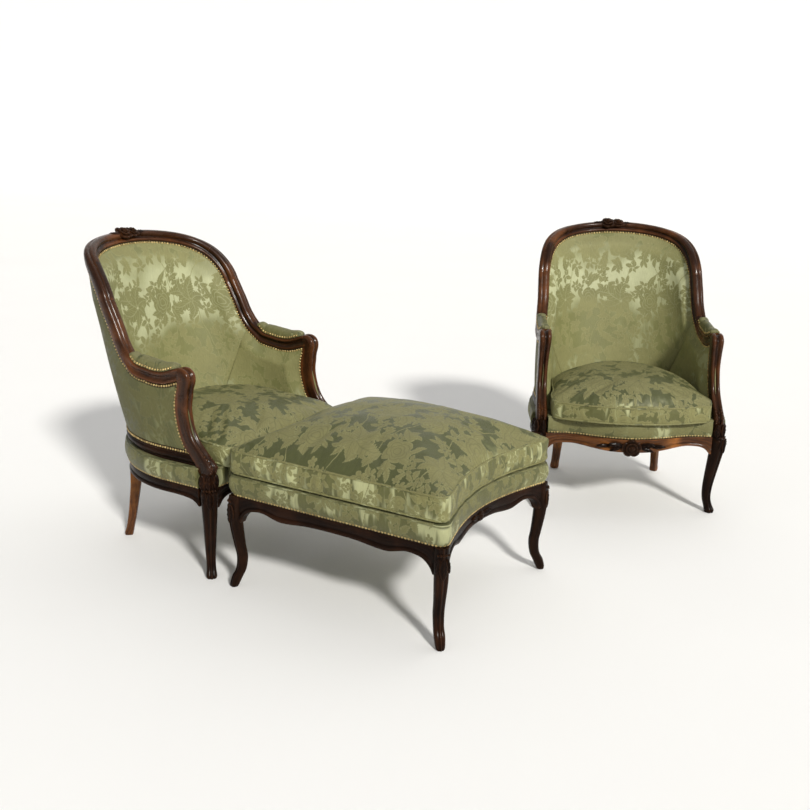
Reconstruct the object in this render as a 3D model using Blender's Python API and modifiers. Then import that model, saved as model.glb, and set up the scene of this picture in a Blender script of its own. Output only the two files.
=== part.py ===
# A pair of tub armchairs and the stool that joins them into a day bed: carved walnut frames, covered walls,
# boxed seat cushions. Chair axes: +X the sitter's right, +Y forward, +Z up. All lengths in metres.
import bmesh
import bpy
from math import atan2, cos, pi, radians, sin, sqrt
from mathutils import Matrix, Vector

for oldObject in list(bpy.data.objects):
    bpy.data.objects.remove(oldObject, do_unlink=True)

# driving dimensions
contactGap = 0.0003          # between pieces that touch
panelClear = 0.0008          # between a covered panel's edge and the frame moulding above it

# the seat: rails, upholstered border, cushion
railTop = 0.2893             # height of the nailed edge, top of every seat rail
railHeight = 0.036           # least height of a seat rail
railThickness = 0.024
borderHeight = 0.063         # upholstered band above the rails
borderBulge = 0.012
seatHalfWidth = 0.334        # outer face of the side rails
seatBack = 0.264             # outer face of the back rail, behind the chair's centre
seatTurn = 0.10              # where the straight side rails begin to curve, ahead of the centre
frontLine = 0.268            # outer face of the front rail beside the legs
frontBow = 0.059             # how far the middle of the front rail stands further forward

# the legs
legHalf = 0.0235             # half thickness of a front leg at its block
legSweep = 0.028             # how far a cabriole leg swings
legInset = 0.0215            # front leg's centre, inside the side rail's face
legSetback = 0.018           # and behind the front rail's face beside it
backLegHalf = 0.0185
backLegDepth = 0.036
backFootInset = 0.134        # back foot, inside the side rail's face
backFootForward = 0.053      # and ahead of the back rail's face
knuckleHeight = 0.047        # front leg block above the rail's top

# the tub wall: a curved, raked surface that carries the covered wall and its moulded frame
wallInset = 0.022            # middle of the wall at the seat, inside the side rail's face
wallBackInset = 0.021        # and inside the back rail's face
armInset = 0.030             # middle of the arm moulding, inside the side rail's face
crestInset = 0.036           # middle of the crest's ends, inside the side rail's face
armHeight = 0.602            # middle of the arm moulding where it hangs lowest
crestHeight = 0.962          # middle of the crest moulding
crestRake = 0.096            # middle of the crest, behind the back rail's face
crestTurn = 0.050            # at the crest the curve begins this far behind the centre
crestTurnHeight = 0.80
seatFullness = 2.0           # superellipse powers of the plan curve
crestFullness = 2.75

# the moulded frame
mouldingHalfWidth = 0.019
mouldingHalfDepth = 0.021
supportHalf = 0.0205
supportScroll = 0.046        # how far the arm support rises past the underside of the arm
supportSwing = 0.092         # how far it swings back from the leg

# the covers
coverThickness = 0.0135
coverFoot = 0.020            # how far the foot moulding stands out from the middle of the wall
footMouldingHeight = 0.032
padEdge = 0.0175             # pad thickness along the frame
padFull = 0.040
padBlend = 0.055
creaseDip = 0.006
armPadHeight = 0.019
armPadHalfWidth = 0.0175

# the seat cushion
cushionSeam = 0.0075         # lower welt above the platform
cushionBoxing = 0.066
cushionCrown = 0.062
cushionProud = 0.018         # its front corners, ahead of the front rail's face
cushionBow = 0.060
cushionCorner = 0.030
cushionClear = 0.0012        # to the pads, also while it is lifted past the arms

# the stool
stoolHalfWidth = 0.318
stoolGap = 0.014             # its near corners, ahead of the chair's bowed front rail
stoolLength = 0.712
stoolHollow = 0.058
stoolCorner = 0.026
stoolLegHalf = 0.0195
stoolLegProud = 0.009        # how far a leg's block stands out from the corner of the border
stoolCushionBoxing = 0.074
stoolCushionCrown = 0.090
stoolCushionInset = 0.004

# the carving
crestFlowerHalf = 0.020
crestFlowerSide = 0.009      # the crest's rose and leaf stand this far to the sitter's right
crestFlowerBack = 0.006
railFlowerHalf = 0.030
stoolFlowerHalf = 0.018

# where the pieces stand
chairAPlace = (-0.5019, -0.6127)
chairBPlace = (0.4581, 0.5663)
chairBTurn = radians(-60.4)

# what follows from these
platformTop = railTop + contactGap + borderHeight
wallBase = platformTop + contactGap
coverBase = wallBase + footMouldingHeight + contactGap
legTop = railTop + knuckleHeight
legSide = seatHalfWidth - legInset
legForward = frontLine - legSetback
backFootSide = seatHalfWidth - backFootInset
backFootBack = seatBack - backFootForward
wallHalfWidth = seatHalfWidth - wallInset
wallBack = seatBack - wallBackInset
armHalfWidth = seatHalfWidth - armInset
crestHalfWidth = seatHalfWidth - crestInset
crestBack = seatBack + crestRake
supportRear = legForward - supportSwing
cushionHalfWidth = armHalfWidth - padFull - cushionClear
cushionFrontLine = frontLine + cushionProud
stoolNear = frontLine + frontBow + stoolGap
smoothAngle = radians(38)

# outline shares
frameShares = [(-1, 0.055), (-0.5, 0.0), (0.016, 0.011), (0.131, 0.089), (0.185, 0.222), (0.211, 0.411),
               (0.251, 0.61), (0.362, 0.795), (0.518, 0.911), (0.73, 0.975), (1, 1), (1.27, 0.975)]
supportShares = [(0.0, 1.0), (0.1, 0.74), (0.22, 0.38), (0.34, 0.16), (0.5, 0.02), (0.6, 0.0), (0.72, 0.05),
                 (0.84, 0.13), (1.0, 0.13)]
# heights of the rows that the covered wall shares with the arm support, foot moulding to arm
rowShares = [0.0, 0.19, 0.42, 0.72, 1.0]
frontBowShares = [(0.0, 0.0), (0.3, 0.05), (0.65, 0.66), (1.0, 1.0)]
frontDropShares = [(0.0, 1.35), (0.12, 1.05), (0.32, 1.0), (0.55, 1.22), (0.75, 1.38), (1.0, 1.38)]
sideDropShares = [(0.0, 1.35), (0.18, 1.08), (0.45, 1.0), (0.8, 1.05), (1.0, 1.1)]
stoolDropShares = [(0.0, 1.4), (0.1, 1.0), (0.25, 1.0), (0.45, 1.38), (0.75, 1.15), (1.0, 1.1)]
# frame moulding, as shares of its half width and half depth, from the covered side round
mouldingShares = [(-1, -0.78), (-0.66, -1), (-0.3, -0.78), (0.1, -1), (0.58, -0.98), (0.9, -0.66), (1, -0.2),
                  (0.86, 0.1), (0.95, 0.46), (0.62, 0.86), (0, 1), (-1, 0.88)]
armShares = [(-1, -0.78), (-0.66, -1), (-0.3, -0.78), (0.1, -1), (0.6, -0.98), (1, -0.84), (1, -0.3),
             (1, 0.3), (1, 0.84), (0.6, 1), (0, 1), (-1, 0.88)]
padSectionShares = [(-1, 0), (-0.98, 0.45), (-0.62, 0.88), (0, 1), (0.62, 0.88), (0.98, 0.45), (1, 0)]
swellShares = [1.0, 1.06, 1.03, 0.94, 0.88, 0.92, 0.98, 1.02, 1.0, 0.86, 0.5]
scrollShares = [0.3, 0.6, 0.88, 1.0]
padFullShares = [0.3, 0.95, 1.0, 1.0, 1.0, 0.95, 0.3]
padEndShare = 0.3
padNeckShare = 0.55          # width left where an arm pad runs out
# arm support section: half widths and depths of its side, shoulder, ridge and cove
supportWidthShares = (1.0, 0.82, 0.5)
supportDepthShares = (0.2, 0.25, 0.14)
supportFaceShare = 0.4
crestEaseShare = 0.3         # of the rise from arm to crest, in which the wall draws in
riseSpans = 4                # spans of frameShares in that rise
curveGapShare = 1.4          # a joint's gap on the seat's curve
# foot moulding: height share and outward share, bottom to top
footProfileShares = [(0, 0), (0, 0.6), (0.24, 0.64), (0.42, 1.0), (0.8, 0.98), (1, 0.7), (1, 0)]
# legs: height share, swing share, half-thickness share
frontLegShares = [(0, -0.10, 0.50), (0.035, -0.08, 0.58), (0.08, -0.34, 0.54), (0.155, -0.62, 0.54),
                  (0.27, -0.62, 0.61), (0.42, -0.36, 0.72), (0.58, -0.02, 0.86), (0.72, 0.24, 1.02),
                  (0.815, 0.30, 1.10), (0.858, 0.06, 1.0), (1, 0, 0.98)]
stoolLegShares = [(0, 0.46, 0.50), (0.05, 0.32, 0.72), (0.12, 0.04, 0.8), (0.2, -0.36, 0.76),
                  (0.33, -0.50, 0.8), (0.46, -0.27, 0.84), (0.66, 0.02, 0.98), (0.82, 0.12, 1.02),
                  (0.93, 0.06, 1.04), (1, 0.0, 1.0)]
backLegShares = [(0, 1.0, 0.62), (0.05, 1.0, 0.66), (0.14, 0.86, 0.62), (0.34, 0.56, 0.66), (0.6, 0.27, 0.84),
                 (0.8, 0.05, 1.0)]
# leg section, turned so that its arris points out along the diagonal
arrisShares = [(1.08, 0.0), (0.86, 0.34), (0.78, 0.62), (0.52, 0.92), (-0.2, 1.0), (-0.92, 0.62), (-1.0, 0.0),
               (-0.92, -0.62), (-0.2, -1.0), (0.52, -0.92), (0.78, -0.62), (0.86, -0.34)]

walnut = dict(colour=(0.105, 0.042, 0.018, 1), roughness=0.28, metallic=0.0)
silkWall = dict(colour=(0.36, 0.40, 0.23, 1), roughness=0.45, metallic=0.0)
silkSeat = dict(colour=(0.25, 0.27, 0.14, 1), roughness=0.5, metallic=0.0)

# seat platform's border: height and bulge; seat rail section: into the rail and down from its top
borderShares = [(0.0, 0.08), (0.16, 0.6), (0.48, 1.0), (0.8, 0.92), (1.0, 0.42)]
railSectionShares = [(0.16, 0.0), (0.0, 0.45), (-0.05, 0.84), (0.16, 1.0), (1.0, 1.0), (1.0, 0.0)]
backRailShare = 1.1          # of the least rail height
blockShare = 1.2
legTurnShare = 0.615         # where the back legs stand, as a share of the side's turn
# back leg's block: along the rail and into it
backBlockShares = [(-1, 0), (0, 0), (1, 0), (1, 0.5), (1, 1), (0, 1), (-1, 1), (-1, 0.5)]

# cushion levels: shares of the seam, the boxing and the crown, and how far they draw in
cushionShares = [(0, 0, 0, 0.35), (0, 0, 0, 0.02), (1, 0, 0, 0), (1, 0.44, 0, 0.012), (1, 1, 0, 0),
                 (1, 1, 0.5, 0.16), (1, 1, 0.86, 0.4), (1, 1, 0.98, 0.7)]
weltShares = [(1, 0, 0, 0), (1, 1, 0, 0)]
weltCreaseShare = 0.7
cushionFrontShares = [(0, 1), (0.42, 0.82), (0.8, 0.34)]
cushionCornerShare = 0.2
cushionTurnShares = [-0.8, 0.0, 0.3, 0.52, 0.7, 0.87]
stoolCornerShares = [(0.08, 0.9), (0.4, 0.16), (1, 0)]

# carving: the crest's rose and leaf as sideways, lift and size shares with a tilt in degrees
crestFlowerShares = [(1.05, 1.05, 1.0, 16), (-0.95, 0.86, 0.88, -18)]
bossShares = (1.0, 0.84, 0.82)
railBossShares = (0.9, 0.42, 0.62)
flowerDropShare = 0.82
leafPlaceShares = (1.75, -0.12, 0.02)
leafShares = (1.25, 0.2, 0.26)
leafTilt = radians(-9)
stoolBossShares = (0.4, 1.0, 0.7)
stoolFlowerDropShare = 0.62

# where each moulded piece starts and ends along the frame, in spans of frameShares
armSpan = (0.0, 3.45)
stileSpan = (3.45, 7.25)
crestSpan = (7.25, 10.0)
creaseSpan = armSpan[1]      # the pads' crease starts at the joint of arm and stile
creaseShare = 0.60           # where the crease meets the seat, as a share of the turn
creaseWidthShare = 0.6
crestStationShares = [0, 0.11, 0.24, 0.4, 0.6, 0.8, 1]


def blendAt(table, t):
    """Smooth value at t through (t, value) pairs, level at both ends."""
    if t <= table[0][0]:
        return table[0][1]
    if t >= table[-1][0]:
        return table[-1][1]
    slopes = [0.0]
    for (t0, v0), (t1, v1), (t2, v2) in zip(table, table[1:], table[2:]):
        slopes.append((v2 - v0) / (t2 - t0))
    slopes.append(0.0)
    for i in range(len(table) - 1):
        (t0, v0), (t1, v1) = table[i], table[i + 1]
        if t <= t1:
            break
    span = t1 - t0
    u = (t - t0) / span
    rise = v0 * (2 * u ** 3 - 3 * u * u + 1) + v1 * (3 * u * u - 2 * u ** 3)
    return rise + span * (slopes[i] * (u ** 3 - 2 * u * u + u) + slopes[i + 1] * (u ** 3 - u * u))


def splineAt(points, s):
    """Catmull-Rom through points, s counted in spans."""
    i = min(int(s), len(points) - 2)
    u = s - i
    before = points[max(i - 1, 0)]
    after = points[min(i + 2, len(points) - 1)]
    here = points[i]
    there = points[i + 1]
    value = []
    for a, b, c, d in zip(before, here, there, after):
        value.append(0.5 * (2 * b + (c - a) * u + (2 * a - 5 * b + 4 * c - d) * u * u
                            + (3 * b - a - 3 * c + d) * u ** 3))
    return value


def clampShare(value):
    return max(0.0, min(1.0, value))


def ramp(value):
    value = clampShare(value)
    return value * value * (3 - 2 * value)




def planPoint(turnShare, halfWidth, turn, back, fullness, front):
    """Half of a horseshoe: -1 at its front end, 0 where the side begins to turn, 1 at the back's middle."""
    if turnShare <= 0:
        return Vector((halfWidth, turn - turnShare * (front - turn)))
    angle = turnShare * pi / 2
    reach = (abs(cos(angle) / halfWidth) ** fullness + abs(sin(angle) / (turn + back)) ** fullness)
    reach = reach ** (-1 / fullness)
    return Vector((reach * cos(angle), turn - reach * sin(angle)))


def supportLine(height):
    """Forward place of the arm support's middle: upright beside the seat, then an S up to the arm."""
    share = clampShare((height - platformTop) / (supportTop - platformTop))
    return supportRear + (legForward - supportRear) * blendAt(supportShares, share)


def supportHalfDepth(height):
    step = railHeight / 12
    slope = (supportLine(height + step) - supportLine(height - step)) / (2 * step)
    return supportHalf * sqrt(1 + slope * slope)


def armFrontHeight():
    """Underside of the arm where it meets its support."""
    return armHeight + frameShares[0][1] * (crestHeight - armHeight) - mouldingHalfWidth - panelClear


supportTop = armFrontHeight() + supportScroll


def supportStations():
    """Heights at which the support's back changes slope; the covered wall has a row at each."""
    top = armFrontHeight()
    return [wallBase] + [coverBase + (top - coverBase) * share for share in rowShares]


def supportBack(height):
    """Back face of the arm support, straight between its stations."""
    stations = supportStations()
    if height >= stations[-1]:
        return supportLine(supportTop) - supportHalf
    low = stations[0]
    high = stations[1]
    for low, high in zip(stations, stations[1:]):
        if height <= high:
            break
    share = clampShare((height - low) / (high - low))
    lowBack = supportLine(low) - supportHalfDepth(low)
    highBack = supportLine(high) - supportHalfDepth(high)
    if high == stations[-1]:
        highBack = supportLine(supportTop) - supportHalf
    return lowBack + (highBack - lowBack) * share


def wallSizes(height):
    rise = (height - platformTop) / (crestHeight - platformTop)
    toArm = clampShare((height - platformTop) / (armHeight - platformTop))
    toCrest = clampShare((height - armHeight) / (crestHeight - armHeight) / crestEaseShare)
    half = wallHalfWidth + (armHalfWidth - wallHalfWidth) * toArm + (crestHalfWidth - armHalfWidth) * toCrest
    toTurn = clampShare((height - platformTop) / (crestTurnHeight - platformTop))
    turn = seatTurn - (seatTurn + crestTurn) * toTurn
    back = wallBack + (crestBack - wallBack) * rise
    fullness = seatFullness + (crestFullness - seatFullness) * toTurn
    front = supportBack(height) - contactGap
    return half, turn, back, fullness, front


def wallMiddle(turnShare, height):
    half, turn, back, fullness, front = wallSizes(height)
    flat = planPoint(turnShare, half, turn, back, fullness, front)
    return Vector((flat.x, flat.y, height))


def wallNormal(turnShare, height):
    step = 0.01
    low = min(max(turnShare, -1 + step), 1 - step)
    along = wallMiddle(low + step, height) - wallMiddle(low - step, height)
    if turnShare > 1 - step:
        along = Vector((-1, 0, 0))
    rise = railHeight / 6
    up = wallMiddle(turnShare, height + rise) - wallMiddle(turnShare, height - rise)
    if turnShare < -1 + step:
        up.y = 0
    return up.cross(along).normalized()


def wallOutward(turnShare, height):
    """Level direction out of the wall."""
    normal = wallNormal(turnShare, height)
    normal.z = 0
    return normal.normalized()


def wallPoint(turnShare, height, depth):
    """A point of the wall: depth is counted outwards from the middle of the wall."""
    return wallMiddle(turnShare, height) + wallOutward(turnShare, height) * depth


def wallPlace(point):
    """The turn share and height of a point that lies on the wall."""
    half, turn, back, fullness, front = wallSizes(point.z)
    if point.y > turn:
        return max(-1.0, -(point.y - turn) / (front - turn)), point.z
    return atan2(turn - point.y, point.x) / (pi / 2), point.z


def frameMiddle(s):
    turnShare, riseShare = splineAt(frameShares, s)
    height = armHeight + riseShare * (crestHeight - armHeight)
    if turnShare > 1:
        point = wallMiddle(2 - turnShare, height)
        return Vector((-point.x, point.y, point.z))
    return wallMiddle(turnShare, height)


def frameAxes(s):
    """Middle of the frame at s, with its outward-from-panel and outward-from-seat directions."""
    step = 0.02
    middle = frameMiddle(s)
    along = (frameMiddle(s + step) - frameMiddle(max(s - step, 0))).normalized()
    turnShare, height = splineAt(frameShares, s)
    normal = wallNormal(min(turnShare, 1.0), middle.z)
    if s >= crestSpan[1]:
        normal.x = 0
        along = Vector((-1, 0, 0))
    if s <= 0:
        along = Vector((0, -1, 0))
    normal = (normal - along * normal.dot(along)).normalized()
    return middle, along.cross(normal).normalized(), normal


# materials, objects and bodies
def makeMaterial(name, look):
    material = bpy.data.materials.new(name)
    material.use_nodes = True
    shader = material.node_tree.nodes["Principled BSDF"]
    shader.inputs["Base Color"].default_value = look["colour"]
    shader.inputs["Roughness"].default_value = look["roughness"]
    shader.inputs["Metallic"].default_value = look["metallic"]
    material.diffuse_color = look["colour"]
    return material


def addObject(name, bm, place, look, collection, origin=(0, 0, 0)):
    origin = Vector(origin)
    bmesh.ops.recalc_face_normals(bm, faces=bm.faces)
    bmesh.ops.translate(bm, vec=-origin, verts=bm.verts)
    mesh = bpy.data.meshes.new(name)
    bm.to_mesh(mesh)
    bm.free()
    mesh.shade_smooth()
    mesh.set_sharp_from_angle(angle=smoothAngle)
    mesh.materials.append(makeMaterial(name, look))
    obj = bpy.data.objects.new(name, mesh)
    obj.parent = place
    obj.location = origin
    collection.objects.link(obj)
    return obj


def loft(rings, mirrored=False, kind="", whole=False):
    """A closed body through rings of points, with its two ends filled. Rings of a "panel" run up its inner
    face and down its outer face. Panels and the "frame" above them are cut into triangles alike, so that
    their twisted faces lie parallel; past the middle of a whole horseshoe the cut turns over."""
    bm = bmesh.new()
    rows = []
    for ring in rings:
        row = []
        for point in ring:
            x = -point[0] if mirrored else point[0]
            row.append(bm.verts.new((x, point[1], point[2])))
        rows.append(row)
    count = len(rows[0])
    half = count // 2
    for place, (low, high) in enumerate(zip(rows, rows[1:])):
        past = whole and place >= (len(rows) - 1) / 2
        for i in range(count):
            j = (i + 1) % count
            if not kind:
                bm.faces.new((low[i], low[j], high[j], high[i]))
            elif (kind == "panel" and i >= half - 1) != past:
                bm.faces.new((low[i], low[j], high[i]))
                bm.faces.new((low[j], high[j], high[i]))
            else:
                bm.faces.new((low[i], low[j], high[j]))
                bm.faces.new((low[i], high[j], high[i]))
    if kind == "panel" and count % 2 == 0:
        for row in (rows[0], rows[-1]):
            for i in range(half - 1):
                bm.faces.new((row[i], row[i + 1], row[-2 - i], row[-1 - i]))
    else:
        caps = [bm.faces.new(rows[0][::-1]), bm.faces.new(rows[-1])]
        bmesh.ops.triangulate(bm, faces=caps)
    return bm


def spread(start, end, count):
    return [start + (end - start) * i / count for i in range(count + 1)]


def joinBlob(obj, place, centre, halves, turn, helpers):
    """Unites an ellipsoid, a carved boss or leaf, with obj."""
    bm = bmesh.new()
    bmesh.ops.create_uvsphere(bm, u_segments=8, v_segments=6, radius=1)
    matrix = Matrix.Translation(centre) @ Matrix.Rotation(turn, 4, "Y") @ Matrix.Diagonal((*halves, 1))
    bmesh.ops.transform(bm, matrix=matrix, verts=bm.verts)
    mesh = bpy.data.meshes.new(obj.name + "_boss")
    bm.to_mesh(mesh)
    bm.free()
    boss = bpy.data.objects.new(mesh.name, mesh)
    boss.parent = place
    boss.hide_render = True
    boss.display_type = "WIRE"
    helpers.objects.link(boss)
    union = obj.modifiers.new("Union", "BOOLEAN")
    union.operation = "UNION"
    union.solver = "EXACT"
    union.object = boss


# seat curves, rails, legs and cushions
def seatCurve(turnShare, offset):
    """Outer face of the chair's side and back rails, moved out by offset."""
    front = legForward - legHalf - contactGap
    return planPoint(turnShare, seatHalfWidth + offset, seatTurn, seatBack + offset, seatFullness, front)


def frontCurve(side, offset):
    """Outer face of the front rail at a distance from the chair's middle."""
    reach = legSide - legHalf - contactGap
    share = clampShare(1 - abs(side) / reach)
    return frontLine + frontBow * blendAt(frontBowShares, share) + offset


def railRing(outer, inward, top, height):
    """Rail section: flat back, a round lower lip on its face."""
    ring = []
    for intoShare, downShare in railSectionShares:
        flat = outer + inward * railThickness * intoShare
        ring.append((flat.x, flat.y, top - height * downShare))
    return ring


def legRings(shares, height, half, sweep, centre, outward):
    diagonal = Vector(outward).normalized()
    across = Vector((-diagonal.y, diagonal.x))
    rings = []
    for heightShare, swingShare, halfShare in shares:
        middle = Vector(centre) + diagonal * sweep * swingShare
        ring = []
        for outShare, sideShare in arrisShares:
            reach = diagonal * outShare + across * sideShare
            flat = middle + reach * half * halfShare
            ring.append((flat.x, flat.y, height * heightShare))
        rings.append(ring)
    return rings


def blockRings(rings, centre, half, fromRing):
    """Squares the top rings of a leg so that rails and covers meet flat faces."""
    squared = []
    for index, ring in enumerate(rings):
        if index < fromRing:
            squared.append(ring)
            continue
        fitted = []
        for x, y, z in ring:
            x = max(centre[0] - half, min(centre[0] + half, x))
            y = max(centre[1] - half, min(centre[1] + half, y))
            fitted.append((x, y, z))
        squared.append(fitted)
    return squared


def platformOutline(offset):
    """Right half of the border, from the front's middle round the leg's notch to the back's middle."""
    reach = legSide - legHalf - contactGap
    behind = legForward - legHalf - contactGap
    points = []
    for side in spread(0, reach, 6):
        points.append((side, frontCurve(side, offset)))
    points.append((reach, behind))
    for turnShare in spread(-1, 0, 2)[:-1]:
        points.append(seatCurve(turnShare, offset))
    for turnShare in spread(0, 1, 8):
        points.append(seatCurve(turnShare, offset))
    return points


def bothHalves(half):
    """A closed outline from its right half, which starts and ends on the middle line."""
    left = [(-x, y) for x, y in half[-2:0:-1]]
    return [(x, y) for x, y in half] + left


def borderRings(outline, base):
    rings = []
    for heightShare, bulgeShare in borderShares:
        ring = []
        for x, y in outline(borderBulge * bulgeShare):
            ring.append((x, y, base + borderHeight * heightShare))
        rings.append(ring)
    return rings


def cushionBody(name, outline, base, boxing, crown, place, collection, origin):
    """Boxed cushion: drawn-in sides between two welts, and a crown that grows rounder as it rises."""
    middle = Vector((sum(p[0] for p in outline), sum(p[1] for p in outline))) / len(outline)
    reachX = max(abs(p[0] - middle.x) for p in outline)
    reachY = max(abs(p[1] - middle.y) for p in outline)
    bm = bmesh.new()
    rows = []
    for seamShare, boxingShare, crownShare, inShare in cushionShares:
        height = base + cushionSeam * seamShare + (boxing - cushionSeam) * boxingShare + crown * crownShare
        row = []
        for x, y in outline:
            corner = Vector((x, y)) - middle
            turn = atan2(corner.y / reachY, corner.x / reachX)
            oval = Vector((reachX * cos(turn), reachY * sin(turn)))
            flat = middle + corner.lerp(oval, crownShare) * (1 - inShare)
            row.append(bm.verts.new((flat.x, flat.y, height)))
        rows.append(row)
    count = len(outline)
    for low, high in zip(rows, rows[1:]):
        for i in range(count):
            j = (i + 1) % count
            bm.faces.new((low[i], low[j], high[j], high[i]))
    for row, height in ((rows[0], base), (rows[-1], base + boxing + crown)):
        tip = bm.verts.new((middle.x, middle.y, height))
        for i in range(count):
            bm.faces.new((row[i], row[(i + 1) % count], tip))
    crease = bm.edges.layers.float.new("crease_edge")
    for row, shares in zip(rows, cushionShares):
        if shares not in weltShares:
            continue
        for i in range(count):
            edge = bm.edges.get((row[i], row[(i + 1) % count]))
            edge[crease] = weltCreaseShare
    cushion = addObject(name, bm, place, silkSeat, collection, origin)
    soften = cushion.modifiers.new("Subdivision", "SUBSURF")
    soften.levels = 1
    soften.render_levels = 1
    return cushion


def footShare(s):
    if s <= creaseSpan:
        return -1 + (creaseShare + 1) * s / creaseSpan
    return creaseShare + (1 - creaseShare) * (s - creaseSpan) / (crestSpan[1] - creaseSpan)


def makeColumn(s):
    """The line of the wall's middle that runs from the seat up to station s of the frame."""
    middle, outward, normal = frameAxes(s)
    edge = middle - outward * (mouldingHalfWidth + panelClear)
    topTurn, topHeight = wallPlace(edge)
    return dict(s=s, edge=edge, normal=normal, topTurn=topTurn, topHeight=topHeight,
                slip=edge - wallMiddle(topTurn, topHeight))


def columnPoint(column, height, depth):
    """A point of the panel on a column: level offsets at the seat, square to the frame at the top."""
    share = clampShare((height - wallBase) / (column["topHeight"] - wallBase))
    foot = footShare(column["s"])
    turnShare = foot + (column["topTurn"] - foot) * share
    outward = wallOutward(turnShare, height).lerp(column["normal"], share ** 3)
    return wallMiddle(turnShare, height) + column["slip"] * share ** 3 + outward * depth


def rowHeights(column):
    """Heights of a column's rows: the seat, the foot moulding's top, then shares of what is left."""
    top = column["topHeight"]
    return [wallBase] + [coverBase + (top - coverBase) * share for share in rowShares]


def padThickness(column, height):
    """Pad thickness: thin along the frame and the arm support, dipping at the crease."""
    fromTop = ramp((column["topHeight"] - height) / padBlend)
    fromFront = ramp((supportBack(height) - columnPoint(column, height, 0).y) / padBlend)
    if column["s"] > creaseSpan:
        fromFront = 1.0
    crease = 1 - clampShare(abs(column["s"] - creaseSpan) / creaseWidthShare)
    thickness = padEdge + (padFull - padEdge) * min(fromTop, fromFront)
    return thickness - creaseDip * crease * fromTop


def panelRing(column, heights, outerDepth, innerDepth):
    """One column of a wall panel as a closed section: up its inner face and down its outer face."""
    ring = [columnPoint(column, height, innerDepth(column, height)) for height in heights]
    ring.extend(columnPoint(column, height, outerDepth) for height in heights[::-1])
    return ring


def frameColumns(joint):
    """Stations along the frame that the moulding and the panels below it share, by piece."""
    arm = spread(armSpan[0], armSpan[1] - joint, 6)
    stile = spread(stileSpan[0] + joint, stileSpan[1] - joint, 6)
    start = crestSpan[0] + joint
    crest = [start + (crestSpan[1] - start) * share for share in crestStationShares]
    return arm, stile, crest


def mirrorRings(rings, inclusive):
    """Continues a right half to the left side across the middle."""
    left = [[Vector((-p[0], p[1], p[2])) for p in ring] for ring in rings[::-1]]
    return rings + (left[1:] if inclusive else left)


def frameRings(columns, shares):
    rings = []
    for s in columns:
        middle, outward, normal = frameAxes(s)
        ring = []
        for wideShare, deepShare in shares:
            ring.append(middle + outward * mouldingHalfWidth * wideShare
                        + normal * mouldingHalfDepth * deepShare)
        rings.append(ring)
    return rings


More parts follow.
